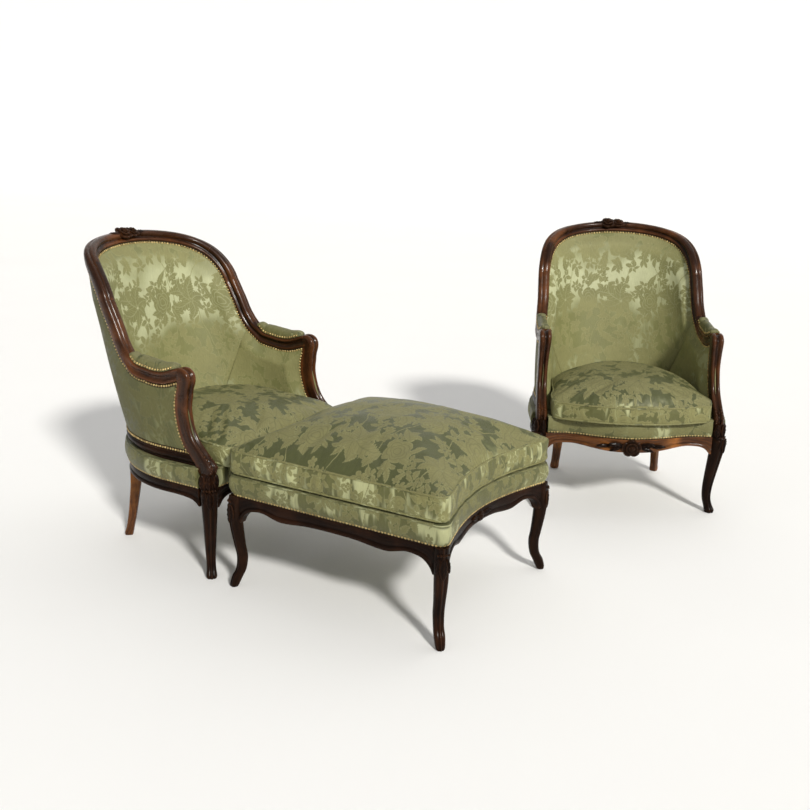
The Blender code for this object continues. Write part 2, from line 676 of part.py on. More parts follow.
def buildChair(prefix, place, collection, helpers):
    sides = (("right", False), ("left", True))
    joint = contactGap / (crestHeight - armHeight) * riseSpans
    armColumns, stileColumns, crestColumns = frameColumns(joint)

    # seat rails and legs
    reach = legSide - legHalf - contactGap
    rings = []
    for side in spread(-reach, reach, 16):
        share = 1 - abs(side) / reach
        outer = Vector((side, frontCurve(side, 0)))
        rings.append(railRing(outer, Vector((0, -1)), railTop, railHeight * blendAt(frontDropShares, share)))
    frontRail = addObject(prefix + "front_rail", loft(rings), place, walnut, collection)
    flowerAt = Vector((0, frontCurve(0, 0), railTop - railHeight * flowerDropShare))
    joinBlob(frontRail, place, flowerAt, Vector(railBossShares) * railFlowerHalf, 0, helpers)
    for way in (-1, 1):
        aside, forward, up = Vector(leafPlaceShares) * railFlowerHalf
        leafAt = flowerAt + Vector((way * aside, forward, up))
        joinBlob(frontRail, place, leafAt, Vector(leafShares) * railFlowerHalf, way * leafTilt, helpers)

    halfTurn = backLegHalf / (seatHalfWidth * pi / 2)
    gapTurn = contactGap / (seatHalfWidth * pi / 2) * curveGapShare
    for side, mirrored in sides:
        centre = (legSide, legForward)
        rings = legRings(frontLegShares, legTop, legHalf, legSweep, centre, (1, 1))
        rings = blockRings(rings, centre, legHalf, 9)
        addObject(prefix + "front_leg_" + side, loft(rings, mirrored), place, walnut, collection)

        rings = []
        for share in spread(0, 1, 9):
            turnShare = -1 + (legTurnShare - halfTurn - gapTurn + 1) * share
            outer = seatCurve(turnShare, 0)
            inner = seatCurve(turnShare, -railThickness)
            inward = (inner - outer).normalized()
            if turnShare <= 0:
                inward = Vector((-1, 0))
            rings.append(railRing(outer, inward, railTop, railHeight * blendAt(sideDropShares, share)))
        addObject(prefix + "side_rail_" + side, loft(rings, mirrored), place, walnut, collection)

        # the back leg's block stands between two rails, its side faces on the same cuts as theirs
        block = []
        for along, inShare in backBlockShares:
            outer = seatCurve(legTurnShare + halfTurn * along, 0)
            inner = seatCurve(legTurnShare + halfTurn * along, -backLegDepth)
            block.append(outer.lerp(inner, inShare))
        middle = sum(block, Vector((0, 0))) / len(block)
        foot = Vector((backFootSide, -backFootBack))
        low = railTop - railHeight * blockShare
        rings = []
        for heightShare, outShare, sizeShare in backLegShares:
            ring = []
            for corner in block:
                arm = (corner - middle) * sizeShare
                flat = middle.lerp(foot, outShare) + arm
                ring.append((flat.x, flat.y, low * heightShare))
            rings.append(ring)
        for height in (low, railTop):
            rings.append([(flat.x, flat.y, height) for flat in block])
        addObject(prefix + "back_leg_" + side, loft(rings, mirrored), place, walnut, collection)

    rings = []
    start = legTurnShare + halfTurn + gapTurn
    for share in spread(0, 1, 5):
        outer = seatCurve(start + (1 - start) * share, 0)
        inner = seatCurve(start + (1 - start) * share, -railThickness)
        rings.append(railRing(outer, (inner - outer).normalized(), railTop, railHeight * backRailShare))
    rings = [[Vector(p) for p in ring] for ring in rings]
    addObject(prefix + "back_rail", loft(mirrorRings(rings, True)), place, walnut, collection)

    # upholstered platform with its bulging border
    rings = borderRings(lambda offset: bothHalves(platformOutline(offset)), railTop + contactGap)
    addObject(prefix + "seat_platform", loft(rings), place, silkWall, collection)

    # foot moulding of the wall, a horseshoe that stands on the platform
    armPart, stilePart, crestPart = [[makeColumn(s) for s in part] for part in frameColumns(joint)]
    columns = armPart + stilePart + crestPart
    rings = []
    for column in columns:
        ring = []
        for heightShare, outShare in footProfileShares:
            height = wallBase + footMouldingHeight * heightShare
            ring.append(columnPoint(column, height, contactGap + coverFoot * outShare))
        rings.append(ring)
    body = loft(mirrorRings(rings, True), kind="panel", whole=True)
    addObject(prefix + "foot_moulding", body, place, walnut, collection)

    # outer cover: one skin round the whole wall
    rings = []
    for column in columns:
        rings.append(panelRing(column, rowHeights(column)[1:], coverThickness, lambda c, h: contactGap))
    body = loft(mirrorRings(rings, True), kind="panel", whole=True)
    addObject(prefix + "outer_cover", body, place, silkWall, collection)

    # inner pads: two sides and the back, meeting at a crease
    def pad(column, height):
        return -padThickness(column, height)

    for side, mirrored in sides:
        rings = [panelRing(column, rowHeights(column), -contactGap, pad) for column in armPart]
        body = loft(rings, mirrored, kind="panel")
        addObject(prefix + "side_pad_" + side, body, place, silkWall, collection)
    rings = [panelRing(column, rowHeights(column), -contactGap, pad) for column in stilePart + crestPart]
    body = loft(mirrorRings(rings, True), kind="panel", whole=True)
    addObject(prefix + "back_pad", body, place, silkWall, collection)

    # moulded frame: arms, stiles and crest
    for side, mirrored in sides:
        rings = frameRings(armColumns, armShares)
        addObject(prefix + "arm_" + side, loft(rings, mirrored, "frame"), place, walnut, collection)
        rings = frameRings(stileColumns, mouldingShares)
        addObject(prefix + "stile_" + side, loft(rings, mirrored, "frame"), place, walnut, collection)
    rings = mirrorRings(frameRings(crestColumns, mouldingShares), True)
    crest = addObject(prefix + "crest_rail", loft(rings, False, "frame", True), place, walnut, collection)
    middle, outward, normal = frameAxes(crestSpan[1])
    for asideShare, liftShare, sizeShare, tilt in crestFlowerShares:
        centre = middle + outward * mouldingHalfWidth * liftShare + normal * crestFlowerBack
        centre = centre + Vector((crestFlowerSide + crestFlowerHalf * asideShare, 0, 0))
        halves = Vector(bossShares) * crestFlowerHalf * sizeShare
        joinBlob(crest, place, centre, halves, radians(tilt), helpers)

    # arm supports and arm pads
    for side, mirrored in sides:
        rings = []
        stations = supportStations()
        heights = [legTop + contactGap] + stations
        scroll = supportTop - stations[-1]
        heights += [stations[-1] + scroll * share for share in scrollShares]
        for height, swellShare in zip(heights, swellShares):
            half = supportHalf * swellShare
            x = wallSizes(min(height, stations[-1]))[0]
            back = supportBack(height) if height >= wallBase else legForward - supportHalf
            y = supportLine(height) if height < stations[-1] else supportLine(supportTop)
            deep = y - back
            face = y + deep * min(1.0, supportFaceShare + (1 - supportFaceShare) * swellShare)
            wide, shoulder, ridge = [half * share for share in supportWidthShares]
            start, drop, cove = [deep * share for share in supportDepthShares]
            rings.append([
                (x - wide, back, height), (x - wide, y + start, height), (x - shoulder, face - drop, height),
                (x - ridge, face, height), (x, face - cove, height), (x + ridge, face, height),
                (x + shoulder, face - drop, height), (x + wide, y + start, height),
                (x + wide, back, height)])
        addObject(prefix + "arm_support_" + side, loft(rings, mirrored), place, walnut, collection)

        rings = []
        stations = [frameAxes(s) for s in armColumns]
        feet = [(a[0] + a[1] * (mouldingHalfWidth + contactGap), a[1], a[2]) for a in stations]
        ends = [tuple(p.lerp(q, padEndShare) for p, q in zip(*pair)) for pair in (feet[:2], feet[:-3:-1])]
        for (foot, outward, normal), fullShare in zip([ends[0]] + feet[1:-1] + [ends[1]], padFullShares):
            neckShare = padNeckShare + (1 - padNeckShare) * fullShare
            ring = []
            for wideShare, highShare in padSectionShares:
                ring.append(foot + normal * armPadHalfWidth * wideShare * neckShare
                            + outward * armPadHeight * highShare * fullShare)
            rings.append(ring)
        addObject(prefix + "arm_pad_" + side, loft(rings, mirrored), place, silkWall, collection)

    # loose seat cushion, its outline taken from the pads it sits between
    base = platformTop + contactGap
    half = []
    for sideShare, bowShare in cushionFrontShares:
        half.append((cushionHalfWidth * sideShare, cushionFrontLine + cushionBow * bowShare))
    half.append((cushionHalfWidth - cushionCorner * cushionCornerShare, cushionFrontLine))
    half.append((cushionHalfWidth, cushionFrontLine - cushionCorner))
    for turnShare in cushionTurnShares:
        flat = wallPoint(turnShare, base, -padFull - cushionClear)
        half.append((min(flat.x, cushionHalfWidth), flat.y))
    flat = wallPoint(1, base, -padFull - cushionClear)
    half.append((0, flat.y))
    outline = bothHalves(half)
    cushionBody(prefix + "seat_cushion", outline, base, cushionBoxing, cushionCrown, place, collection,
                (0, 0, base))


def stoolEnd(acrossShare, offset):
    """Hollow end curve: its distance inside the stool's corner line."""
    return stoolHollow * sin((1 - abs(acrossShare)) * pi / 2) - offset


def stoolOutline(offset, inset=0.0, endSteps=8, sideSteps=4):
    """Closed outline about the stool's middle, +X away from the chair."""
    halfLength = stoolLength / 2 - inset
    halfWidth = stoolHalfWidth - inset + offset
    turn = halfWidth - stoolCorner
    corner = []
    for endShare, sideShare in stoolCornerShares:
        corner.append((halfLength + offset - stoolCorner * endShare, halfWidth - stoolCorner * sideShare))
    half = []
    for acrossShare in spread(-1, 1, endSteps)[1:-1]:
        half.append((halfLength - stoolEnd(acrossShare, offset), turn * acrossShare))
    half.extend(corner)
    for x in spread(halfLength - stoolCorner, -halfLength + stoolCorner, sideSteps)[1:-1]:
        half.append((x, halfWidth))
    half.extend((-x, y) for x, y in corner[::-1])
    return half + [(-x, -y) for x, y in half]


def buildStool(prefix, place, collection, helpers):
    halfLength = stoolLength / 2
    legX = halfLength + stoolLegProud - stoolLegHalf
    legY = stoolHalfWidth + stoolLegProud - stoolLegHalf
    for end, wayX in (("far", 1), ("near", -1)):
        for side, wayY in (("right", -1), ("left", 1)):
            rings = legRings(stoolLegShares, railTop, stoolLegHalf, legSweep, (legX, legY), (1, 1))
            rings = blockRings(rings, (legX, legY), stoolLegHalf, 7)
            rings = [[(x * wayX, y * wayY, z) for x, y, z in ring] for ring in rings]
            addObject(prefix + "leg_%s_%s" % (end, side), loft(rings), place, walnut, collection)
    reach = legX - stoolLegHalf - contactGap
    for side, way in (("right", -1), ("left", 1)):
        rings = []
        for x in spread(-reach, reach, 14):
            drop = railHeight * blendAt(stoolDropShares, 1 - abs(x) / reach)
            rings.append(railRing(Vector((x, stoolHalfWidth * way)), Vector((0, -way)), railTop, drop))
        addObject(prefix + "long_rail_" + side, loft(rings), place, walnut, collection)
    reach = legY - stoolLegHalf - contactGap
    for end, way in (("far", 1), ("near", -1)):
        rings = []
        for y in spread(-reach, reach, 12):
            acrossShare = y / (stoolHalfWidth - stoolCorner)
            drop = railHeight * blendAt(stoolDropShares, 1 - abs(y) / reach)
            outer = Vector(((halfLength - stoolEnd(acrossShare, 0)) * way, y))
            rings.append(railRing(outer, Vector((-way, 0)), railTop, drop))
        rail = addObject(prefix + "end_rail_" + end, loft(rings), place, walnut, collection)
        if way > 0:
            centre = Vector((halfLength - stoolEnd(0, 0), 0, railTop - railHeight * stoolFlowerDropShare))
            joinBlob(rail, place, centre, Vector(stoolBossShares) * stoolFlowerHalf, 0, helpers)
    rings = borderRings(stoolOutline, railTop + contactGap)
    addObject(prefix + "seat_platform", loft(rings), place, silkWall, collection)
    base = platformTop + contactGap
    outline = stoolOutline(0, stoolCushionInset, 6, 3)
    cushionBody(prefix + "cushion", outline, base, stoolCushionBoxing, stoolCushionCrown, place, collection,
                (0, 0, base))


def makeCollection(name):
    collection = bpy.data.collections.new(name)
    bpy.context.scene.collection.children.link(collection)
    return collection


def makePlace(name, at, turn, collection):
    empty = bpy.data.objects.new(name, None)
    empty.location = (at[0], at[1], 0)
    empty.rotation_euler = (0, 0, turn)
    collection.objects.link(empty)
    return empty


parts = makeCollection("wing_chairs_with_footstool")
helpers = makeCollection("carving_helpers")
helpers.hide_render = True
chairA = makePlace("chair_a_place", chairAPlace, radians(-90), parts)
chairB = makePlace("chair_b_place", chairBPlace, radians(-90) + chairBTurn, parts)
stoolMiddle = (chairAPlace[0] + stoolNear + stoolLength / 2, chairAPlace[1])
stool = makePlace("stool_place", stoolMiddle, 0, parts)
buildChair("chair_a_", chairA, parts, helpers)
buildChair("chair_b_", chairB, parts, helpers)
buildStool("stool_", stool, parts, helpers)
print("chairs and stool:", len([obj for obj in parts.objects if obj.type == "MESH"]), "pieces")
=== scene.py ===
from math import atan2, cos, pi, radians, sin, sqrt

import bpy
import numpy as np
from mathutils import Matrix, Vector
from mathutils.bvhtree import BVHTree


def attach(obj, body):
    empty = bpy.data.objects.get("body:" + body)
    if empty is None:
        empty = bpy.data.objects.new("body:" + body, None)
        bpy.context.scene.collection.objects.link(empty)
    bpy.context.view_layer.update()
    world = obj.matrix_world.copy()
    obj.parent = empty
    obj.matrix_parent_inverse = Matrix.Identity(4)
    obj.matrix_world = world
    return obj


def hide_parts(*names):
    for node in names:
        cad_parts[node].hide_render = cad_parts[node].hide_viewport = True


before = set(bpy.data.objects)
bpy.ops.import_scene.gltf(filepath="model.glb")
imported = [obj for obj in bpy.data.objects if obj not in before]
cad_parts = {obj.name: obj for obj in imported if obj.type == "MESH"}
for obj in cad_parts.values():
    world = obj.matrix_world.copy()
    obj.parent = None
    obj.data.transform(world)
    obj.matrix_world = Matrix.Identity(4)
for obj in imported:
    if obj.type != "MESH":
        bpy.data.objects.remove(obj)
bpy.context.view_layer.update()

scene = bpy.context.scene
bpy.ops.object.select_all(action="DESELECT")

stands = {
    "chair_a": dict(at=(-0.5019, -0.6127), turn=-90.0),
    "chair_b": dict(at=(0.4581, 0.5663), turn=-150.4),
    "stool": dict(at=(0.1951, -0.6127), turn=0.0),
}
seat = dict(railTop=0.2893, gap=0.0003, railHeight=0.036, railThick=0.024, border=0.063, bulge=0.012,
            half=0.334, back=0.264, turn=0.10, front=0.268, bow=0.059)
leg = dict(half=0.0235, sweep=0.028, side=0.3125, forward=0.250, backHalf=0.0185, backDepth=0.036,
           footSide=0.200, footBack=0.211, knuckle=0.047, turn=0.615)
wall = dict(half=0.312, back=0.243, armHalf=0.304, crestHalf=0.298, arm=0.602, crest=0.962, crestBack=0.360,
            turn=0.10, crestTurn=0.050, turnHeight=0.80, seatFull=2.0, crestFull=2.75, easeShare=0.3)
moulding = dict(half=0.019, deep=0.021, clear=0.0008)
support = dict(half=0.0205, top=0.648, rear=0.158)
cover = dict(thick=0.0135, foot=0.020, footHeight=0.032, padEdge=0.0175, padFull=0.040, blend=0.055,
             dip=0.010)
platformTop = seat["railTop"] + seat["gap"] + seat["border"]
wallBase = platformTop + seat["gap"]
coverBase = wallBase + cover["footHeight"] + seat["gap"]
frameRise = wall["crest"] - wall["arm"]
legTop = seat["railTop"] + leg["knuckle"]


def placeOf(name):
    at = stands[name]["at"]
    return Matrix.Translation((at[0], at[1], 0)) @ Matrix.Rotation(radians(stands[name]["turn"]), 4, "Z")


# ways to run smoothly through a table of values
def blendAt(table, t):
    if t <= table[0][0]:
        return table[0][1]
    if t >= table[-1][0]:
        return table[-1][1]
    slopes = [0.0]
    for (t0, v0), (t1, v1), (t2, v2) in zip(table, table[1:], table[2:]):
        slopes.append((v2 - v0) / (t2 - t0))
    slopes.append(0.0)
    for i in range(len(table) - 1):
        (t0, v0), (t1, v1) = table[i], table[i + 1]
        if t <= t1:
            break
    span = t1 - t0
    u = (t - t0) / span
    rise = v0 * (2 * u ** 3 - 3 * u * u + 1) + v1 * (3 * u * u - 2 * u ** 3)
    return rise + span * (slopes[i] * (u ** 3 - 2 * u * u + u) + slopes[i + 1] * (u ** 3 - u * u))


def splineThrough(a, b, c, d, u):
    bend = (2 * a - 5 * b + 4 * c - d) * u * u
    return 0.5 * (2 * b + (c - a) * u + bend + (3 * b - a - 3 * c + d) * u ** 3)


def splineAt(points, s):
    i = min(int(s), len(points) - 2)
    places = (max(i - 1, 0), i, i + 1, min(i + 2, len(points) - 1))
    return splineThrough(*(np.array(points[place], float) for place in places), s - i)


def reachAlong(line):
    steps = np.linalg.norm(np.diff(line, axis=0), axis=1)
    return np.concatenate([[0], np.cumsum(steps)])


def resampleLine(line, count):
    line = np.array([tuple(p) for p in line] + [tuple(line[0])])
    reach = reachAlong(line)
    at = np.linspace(0, reach[-1], count, endpoint=False)
    return np.stack([np.interp(at, reach, line[:, k]) for k in range(line.shape[1])], axis=1), reach[-1]


def clampShare(value):
    return max(0.0, min(1.0, value))


def ramp(value):
    value = clampShare(value)
    return value * value * (3 - 2 * value)


def readArray(items, field, width=1, kind=float):
    values = np.empty(len(items) * width, kind)
    items.foreach_get(field, values)
    return values.reshape(-1, width) if width > 1 else values


def spreadMarks(along, across):
    return np.stack(np.broadcast_arrays(along[:, None], across[None, :]), axis=2)


def mirrored(rows):
    return rows + [[Vector((-p.x, p.y, p.z)) for p in row] for row in rows[-2::-1]]


# the tub wall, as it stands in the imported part
frameShares = [(-1, 0.055), (-0.5, 0.0), (0.016, 0.011), (0.131, 0.089), (0.185, 0.222), (0.211, 0.411),
               (0.251, 0.61), (0.362, 0.795), (0.518, 0.911), (0.73, 0.975), (1, 1), (1.27, 0.975)]
supportShares = [(0.0, 1.0), (0.1, 0.74), (0.22, 0.38), (0.34, 0.16), (0.5, 0.02), (0.6, 0.0), (0.72, 0.05),
                 (0.84, 0.13), (1.0, 0.13)]
armEnd, stileEnd, crestEnd = 3.45, 7.25, 10.0
creaseShare = 0.60


def planPoint(turnShare, half, turn, back, fullness, front):
    if turnShare <= 0:
        return Vector((half, turn - turnShare * (front - turn)))
    angle = turnShare * pi / 2
    reach = abs(cos(angle) / half) ** fullness + abs(sin(angle) / (turn + back)) ** fullness
    reach = reach ** (-1 / fullness)
    return Vector((reach * cos(angle), turn - reach * sin(angle)))


def supportLine(height):
    share = clampShare((height - platformTop) / (support["top"] - platformTop))
    return support["rear"] + (leg["forward"] - support["rear"]) * blendAt(supportShares, share)


def supportReach(height):
    step = 0.003
    slope = (supportLine(height + step) - supportLine(height - step)) / (2 * step)
    return support["half"] * sqrt(1 + slope * slope)


armUnder = wall["arm"] + frameShares[0][1] * frameRise - moulding["half"] - moulding["clear"]


def supportBack(height):
    if height >= armUnder:
        return supportLine(support["top"]) - support["half"]
    share = ramp((height - armUnder + 0.05) / 0.05)
    return (supportLine(height) - supportReach(height)) * (1 - share) \
        + (supportLine(support["top"]) - support["half"]) * share


knownSizes = {}


def wallSizes(height):
    key = round(height, 5)
    if key in knownSizes:
        return knownSizes[key]
    rise = (height - platformTop) / (wall["crest"] - platformTop)
    toArm = clampShare((height - platformTop) / (wall["arm"] - platformTop))
    toCrest = clampShare((height - wall["arm"]) / frameRise / wall["easeShare"])
    half = wall["half"] + (wall["armHalf"] - wall["half"]) * toArm
    half += (wall["crestHalf"] - wall["armHalf"]) * toCrest
    toTurn = clampShare((height - platformTop) / (wall["turnHeight"] - platformTop))
    turn = wall["turn"] - (wall["turn"] + wall["crestTurn"]) * toTurn
    back = wall["back"] + (wall["crestBack"] - wall["back"]) * rise
    fullness = wall["seatFull"] + (wall["crestFull"] - wall["seatFull"]) * toTurn
    knownSizes[key] = half, turn, back, fullness, supportBack(height) - seat["gap"]
    return knownSizes[key]


def wallMiddle(turnShare, height):
    flat = planPoint(turnShare, *wallSizes(height))
    return Vector((flat.x, flat.y, height))


def wallNormal(turnShare, height):
    step = 0.01
    low = min(max(turnShare, -1 + step), 1 - step)
    along = wallMiddle(low + step, height) - wallMiddle(low - step, height)
    if turnShare > 1 - step:
        along = Vector((-1, 0, 0))
    rise = seat["railHeight"] / 6
    up = wallMiddle(turnShare, height + rise) - wallMiddle(turnShare, height - rise)
    if turnShare < -1 + step:
        up.y = 0
    return up.cross(along).normalized()


def wallOutward(turnShare, height):
    normal = wallNormal(turnShare, height)
    normal.z = 0
    return normal.normalized()


def wallPlace(point):
    half, turn, back, fullness, front = wallSizes(point.z)
    if point.y > turn:
        return max(-1.0, -(point.y - turn) / (front - turn)), point.z
    return atan2(turn - point.y, point.x) / (pi / 2), point.z


def frameMiddle(s):
    turnShare, riseShare = splineAt(frameShares, s)
    height = wall["arm"] + riseShare * frameRise
    if turnShare > 1:
        point = wallMiddle(2 - turnShare, height)
        return Vector((-point.x, point.y, point.z))
    return wallMiddle(turnShare, height)


def frameAxes(s):
    step = 0.02
    middle = frameMiddle(s)
    along = (frameMiddle(s + step) - frameMiddle(max(s - step, 0))).normalized()
    turnShare, riseShare = splineAt(frameShares, s)
    normal = wallNormal(min(turnShare, 1.0), middle.z)
    if s >= crestEnd:
        normal.x = 0
        along = Vector((-1, 0, 0))
    if s <= 0:
        along = Vector((0, -1, 0))
    normal = (normal - along * normal.dot(along)).normalized()
    return middle, along.cross(normal).normalized(), normal


def makeColumn(s):
    middle, outward, normal = frameAxes(s)
    edge = middle - outward * (moulding["half"] + moulding["clear"])
    topTurn, topHeight = wallPlace(edge)
    if s <= armEnd:
        foot = -1 + (creaseShare + 1) * s / armEnd
    else:
        foot = creaseShare + (1 - creaseShare) * (s - armEnd) / (crestEnd - armEnd)
    return dict(s=s, edge=edge, outward=outward, normal=normal, topTurn=topTurn, top=topHeight, foot=foot,
                slip=edge - wallMiddle(topTurn, topHeight))


def columnTurn(column, height):
    share = clampShare((height - wallBase) / (column["top"] - wallBase))
    return column["foot"] + (column["topTurn"] - column["foot"]) * share, share


def columnPoint(column, height, depth):
    turnShare, share = columnTurn(column, height)
    outward = wallOutward(turnShare, height).lerp(column["normal"], share ** 3)
    return wallMiddle(turnShare, height) + column["slip"] * share ** 3 + outward * depth


# distance round the tub from the middle of its back, for the cloth's pattern
turnSteps = np.linspace(-1, 1, 81)
turnLine = np.array([wallMiddle(t, 0.62) for t in turnSteps])
turnReach = reachAlong(turnLine)
turnReach = turnReach[-1] - turnReach


def roundDistance(turnShare):
    return float(np.interp(turnShare, turnSteps, turnReach))


# making and placing pieces
endGaps = (0.0003, 0.0007)
pair = ("right", "left")
chairCloth = (0.092, 0.055)     # how far the second chair's pattern is slid


def endRings(end, beside):
    step = np.linalg.norm(beside - end, axis=1).mean()
    return [end + (beside - end) * gap / step for gap in endGaps if gap < step * 0.5]


def latticePiece(rows, marks=None, filled=True, smooth=40):
    rows = np.asarray(rows, float)
    rows = np.concatenate([rows, rows[:, :1]], axis=1)
    if marks is None and filled:     # close rings at both ends keep the wear off the joints
        last = endRings(rows[-1], rows[-2])[::-1]
        rows = np.concatenate([rows[:1], endRings(rows[0], rows[1]), rows[1:-1], last, rows[-1:]])
    count, across = rows.shape[:2]
    if marks is None:     # wood: along the piece and round it
        girth = np.linalg.norm(np.diff(rows, axis=1), axis=2).mean(axis=0)
        girth = np.concatenate([[0], np.cumsum(girth)])
        marks = spreadMarks(reachAlong(rows.mean(axis=1)), girth)
    marks = np.asarray(marks, float)
    if marks.shape[1] < across:
        marks = np.concatenate([marks, marks[:, :1]], axis=1)
    bpy.ops.object.select_all(action="DESELECT")
    bpy.ops.mesh.primitive_grid_add(x_subdivisions=across - 1, y_subdivisions=count - 1, size=1)
    piece = bpy.context.object
    mesh = piece.data
    mesh.vertices.foreach_set("co", rows.reshape(-1))
    corners = readArray(mesh.loops, "vertex_index", kind=int)
    mesh.uv_layers[0].data.foreach_set("uv", marks.reshape(-1, 2)[corners].reshape(-1))
    mesh.update()
    bpy.ops.object.mode_set(mode="EDIT")
    bpy.ops.mesh.select_all(action="SELECT")
    bpy.ops.mesh.remove_doubles(threshold=0.000002)
    if filled:
        bpy.ops.mesh.select_all(action="SELECT")
        bpy.ops.mesh.fill_holes(sides=0)
    bpy.ops.mesh.select_all(action="SELECT")
    bpy.ops.mesh.normals_make_consistent(inside=False)
    bpy.ops.object.mode_set(mode="OBJECT")
    bpy.ops.object.shade_smooth_by_angle(angle=radians(smooth))
    return piece


def ballPiece(radius, segments, rings):
    bpy.ops.object.select_all(action="DESELECT")
    bpy.ops.mesh.primitive_uv_sphere_add(segments=segments, ring_count=rings, radius=radius)
    return bpy.context.object


def copyPiece(piece, name, matrix=Matrix(), flip=False):
    mesh = piece.data.copy()
    mesh.name = name
    mesh.transform(matrix @ Matrix.Diagonal((-1, 1, 1, 1)) if flip else matrix)
    if flip:
        mesh.flip_normals()
    copy = bpy.data.objects.new(name, mesh)
    scene.collection.objects.link(copy)
    return copy


def joinPieces(pieces):
    bpy.ops.object.select_all(action="DESELECT")
    for piece in pieces:
        piece.select_set(True)
    bpy.context.view_layer.objects.active = pieces[0]
    bpy.ops.object.join()
    return pieces[0]


def dropPiece(piece):
    bpy.data.objects.remove(piece, do_unlink=True)


def slideMarks(piece, by):
    layer = piece.data.uv_layers[0].data
    layer.foreach_set("uv", (readArray(layer, "uv", 2) + np.array(by)).reshape(-1))


def dress(piece, finish, body, nodes):
    piece.data.materials.clear()
    piece.data.materials.append(finish)
    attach(piece, body)
    if nodes:
        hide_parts(*nodes)


def setChairPiece(piece, label, finish, slotName="", node="", part="", sides=("",)):
    made = []
    for chair in ("chair_a", "chair_b"):
        for side in sides:
            end = "_" + side if side else ""
            copy = copyPiece(piece, chair + "_" + label + end, placeOf(chair), side == "left")
            if chair == "chair_b" and slotName.startswith("silk"):
                slideMarks(copy, chairCloth)
            nodes = [chair + "_" + node + end] if node else []
            dress(copy, finish, chair + part, nodes)
            made.append(copy)
    dropPiece(piece)
    return made


def setStoolPiece(piece, label, finish, node="", part="", turns=None):
    # turns: how the piece is turned or mirrored, for each ending of its name
    for end, turn in (turns or {"": Matrix()}).items():
        copy = copyPiece(piece, "stool_" + label + end, placeOf("stool") @ turn)
        if turn.determinant() < 0:
            copy.data.flip_normals()
        dress(copy, finish, "stool" + part, ["stool_" + node + end] if node else [])
    dropPiece(piece)


# node values, which add and multiply like numbers
class Wire:
    def __init__(self, tree, socket):
        self.tree = tree
        self.socket = socket

    def __add__(self, other):
        return calc("ADD", self, other)

    def __sub__(self, other):
        return calc("SUBTRACT", self, other)

    def __rsub__(self, other):
        return calc("SUBTRACT", other, self)

    def __mul__(self, other):
        return calc("MULTIPLY", self, other)

    def __truediv__(self, other):
        return calc("DIVIDE", self, other)


def feed(socket, value):
    if isinstance(value, Wire):
        value.tree.links.new(value.socket, socket)
    elif socket.type == "RGBA":
        socket.default_value = (*value, 1)
    else:
        socket.default_value = value


def sourceOf(tree, kind, out, **settings):
    node = tree.nodes.new("ShaderNode" + kind)
    for key, value in settings.items():
        setattr(node, key, value)
    return Wire(tree, node.outputs[out])


def addNode(kind, given, out=0, **settings):
    tree = next(value.tree for value in given.values() if isinstance(value, Wire))
    node = tree.nodes.new("ShaderNode" + kind)
    for key, value in settings.items():
        setattr(node, key, value)
    for key, value in given.items():
        feed(node.inputs[key], value)
    if isinstance(out, tuple):
        return [Wire(tree, node.outputs[key]) for key in out]
    return Wire(tree, node.outputs[out])


def calc(operation, *values):
    return addNode("Math", dict(enumerate(values)), operation=operation)


def greatest(*values):
    best = values[0]
    for value in values[1:]:
        best = calc("MAXIMUM", best, value)
    return best


def sizeOf(value):
    return calc("ABSOLUTE", value)


def vectorCalc(operation, *values, out="Vector"):
    return addNode("VectorMath", dict(enumerate(values)), out, operation=operation)


def stretch(vector, x, y, z):
    return vectorCalc("MULTIPLY", vector, (x, y, z))


def partsOf(vector):
    return addNode("SeparateXYZ", {0: vector}, (0, 1, 2))


def soften(value, low, high, toLow=0.0, toHigh=1.0):
    values = (value, low, high, toLow, toHigh)
    return addNode("MapRange", dict(enumerate(values)), interpolation_type="SMOOTHSTEP")


def fadeOut(value, low, high):
    return soften(value, low, high, 1.0, 0.0)


def mixColours(share, first, second, blend="MIX"):
    return addNode("Mix", {0: share, 6: first, 7: second}, 2, data_type="RGBA", blend_type=blend)


def noiseAt(vector, scale, detail=2.0, rough=0.5, dims="3D", out="Fac"):
    given = {"Vector": vector, "Scale": scale, "Detail": detail, "Roughness": rough}
    return addNode("TexNoise", given, out, noise_dimensions=dims)


def newGroup(name, outputs):
    tree = bpy.data.node_groups.new(name, "ShaderNodeTree")
    tree.interface.new_socket("Vector", in_out="INPUT", socket_type="NodeSocketVector")
    for label in outputs:
        tree.interface.new_socket(label, in_out="OUTPUT", socket_type="NodeSocketFloat")
    return tree, Wire(tree, tree.nodes.new("NodeGroupInput").outputs["Vector"])


def closeGroup(tree, **values):
    node = tree.nodes.new("NodeGroupOutput")
    for label, value in values.items():
        feed(node.inputs[label], value)
    return tree


def placeGroup(group, vector, outputs):
    node = vector.tree.nodes.new("ShaderNodeGroup")
    node.node_tree = group
    feed(node.inputs["Vector"], vector)
    return [Wire(vector.tree, node.outputs[label]) for label in outputs]


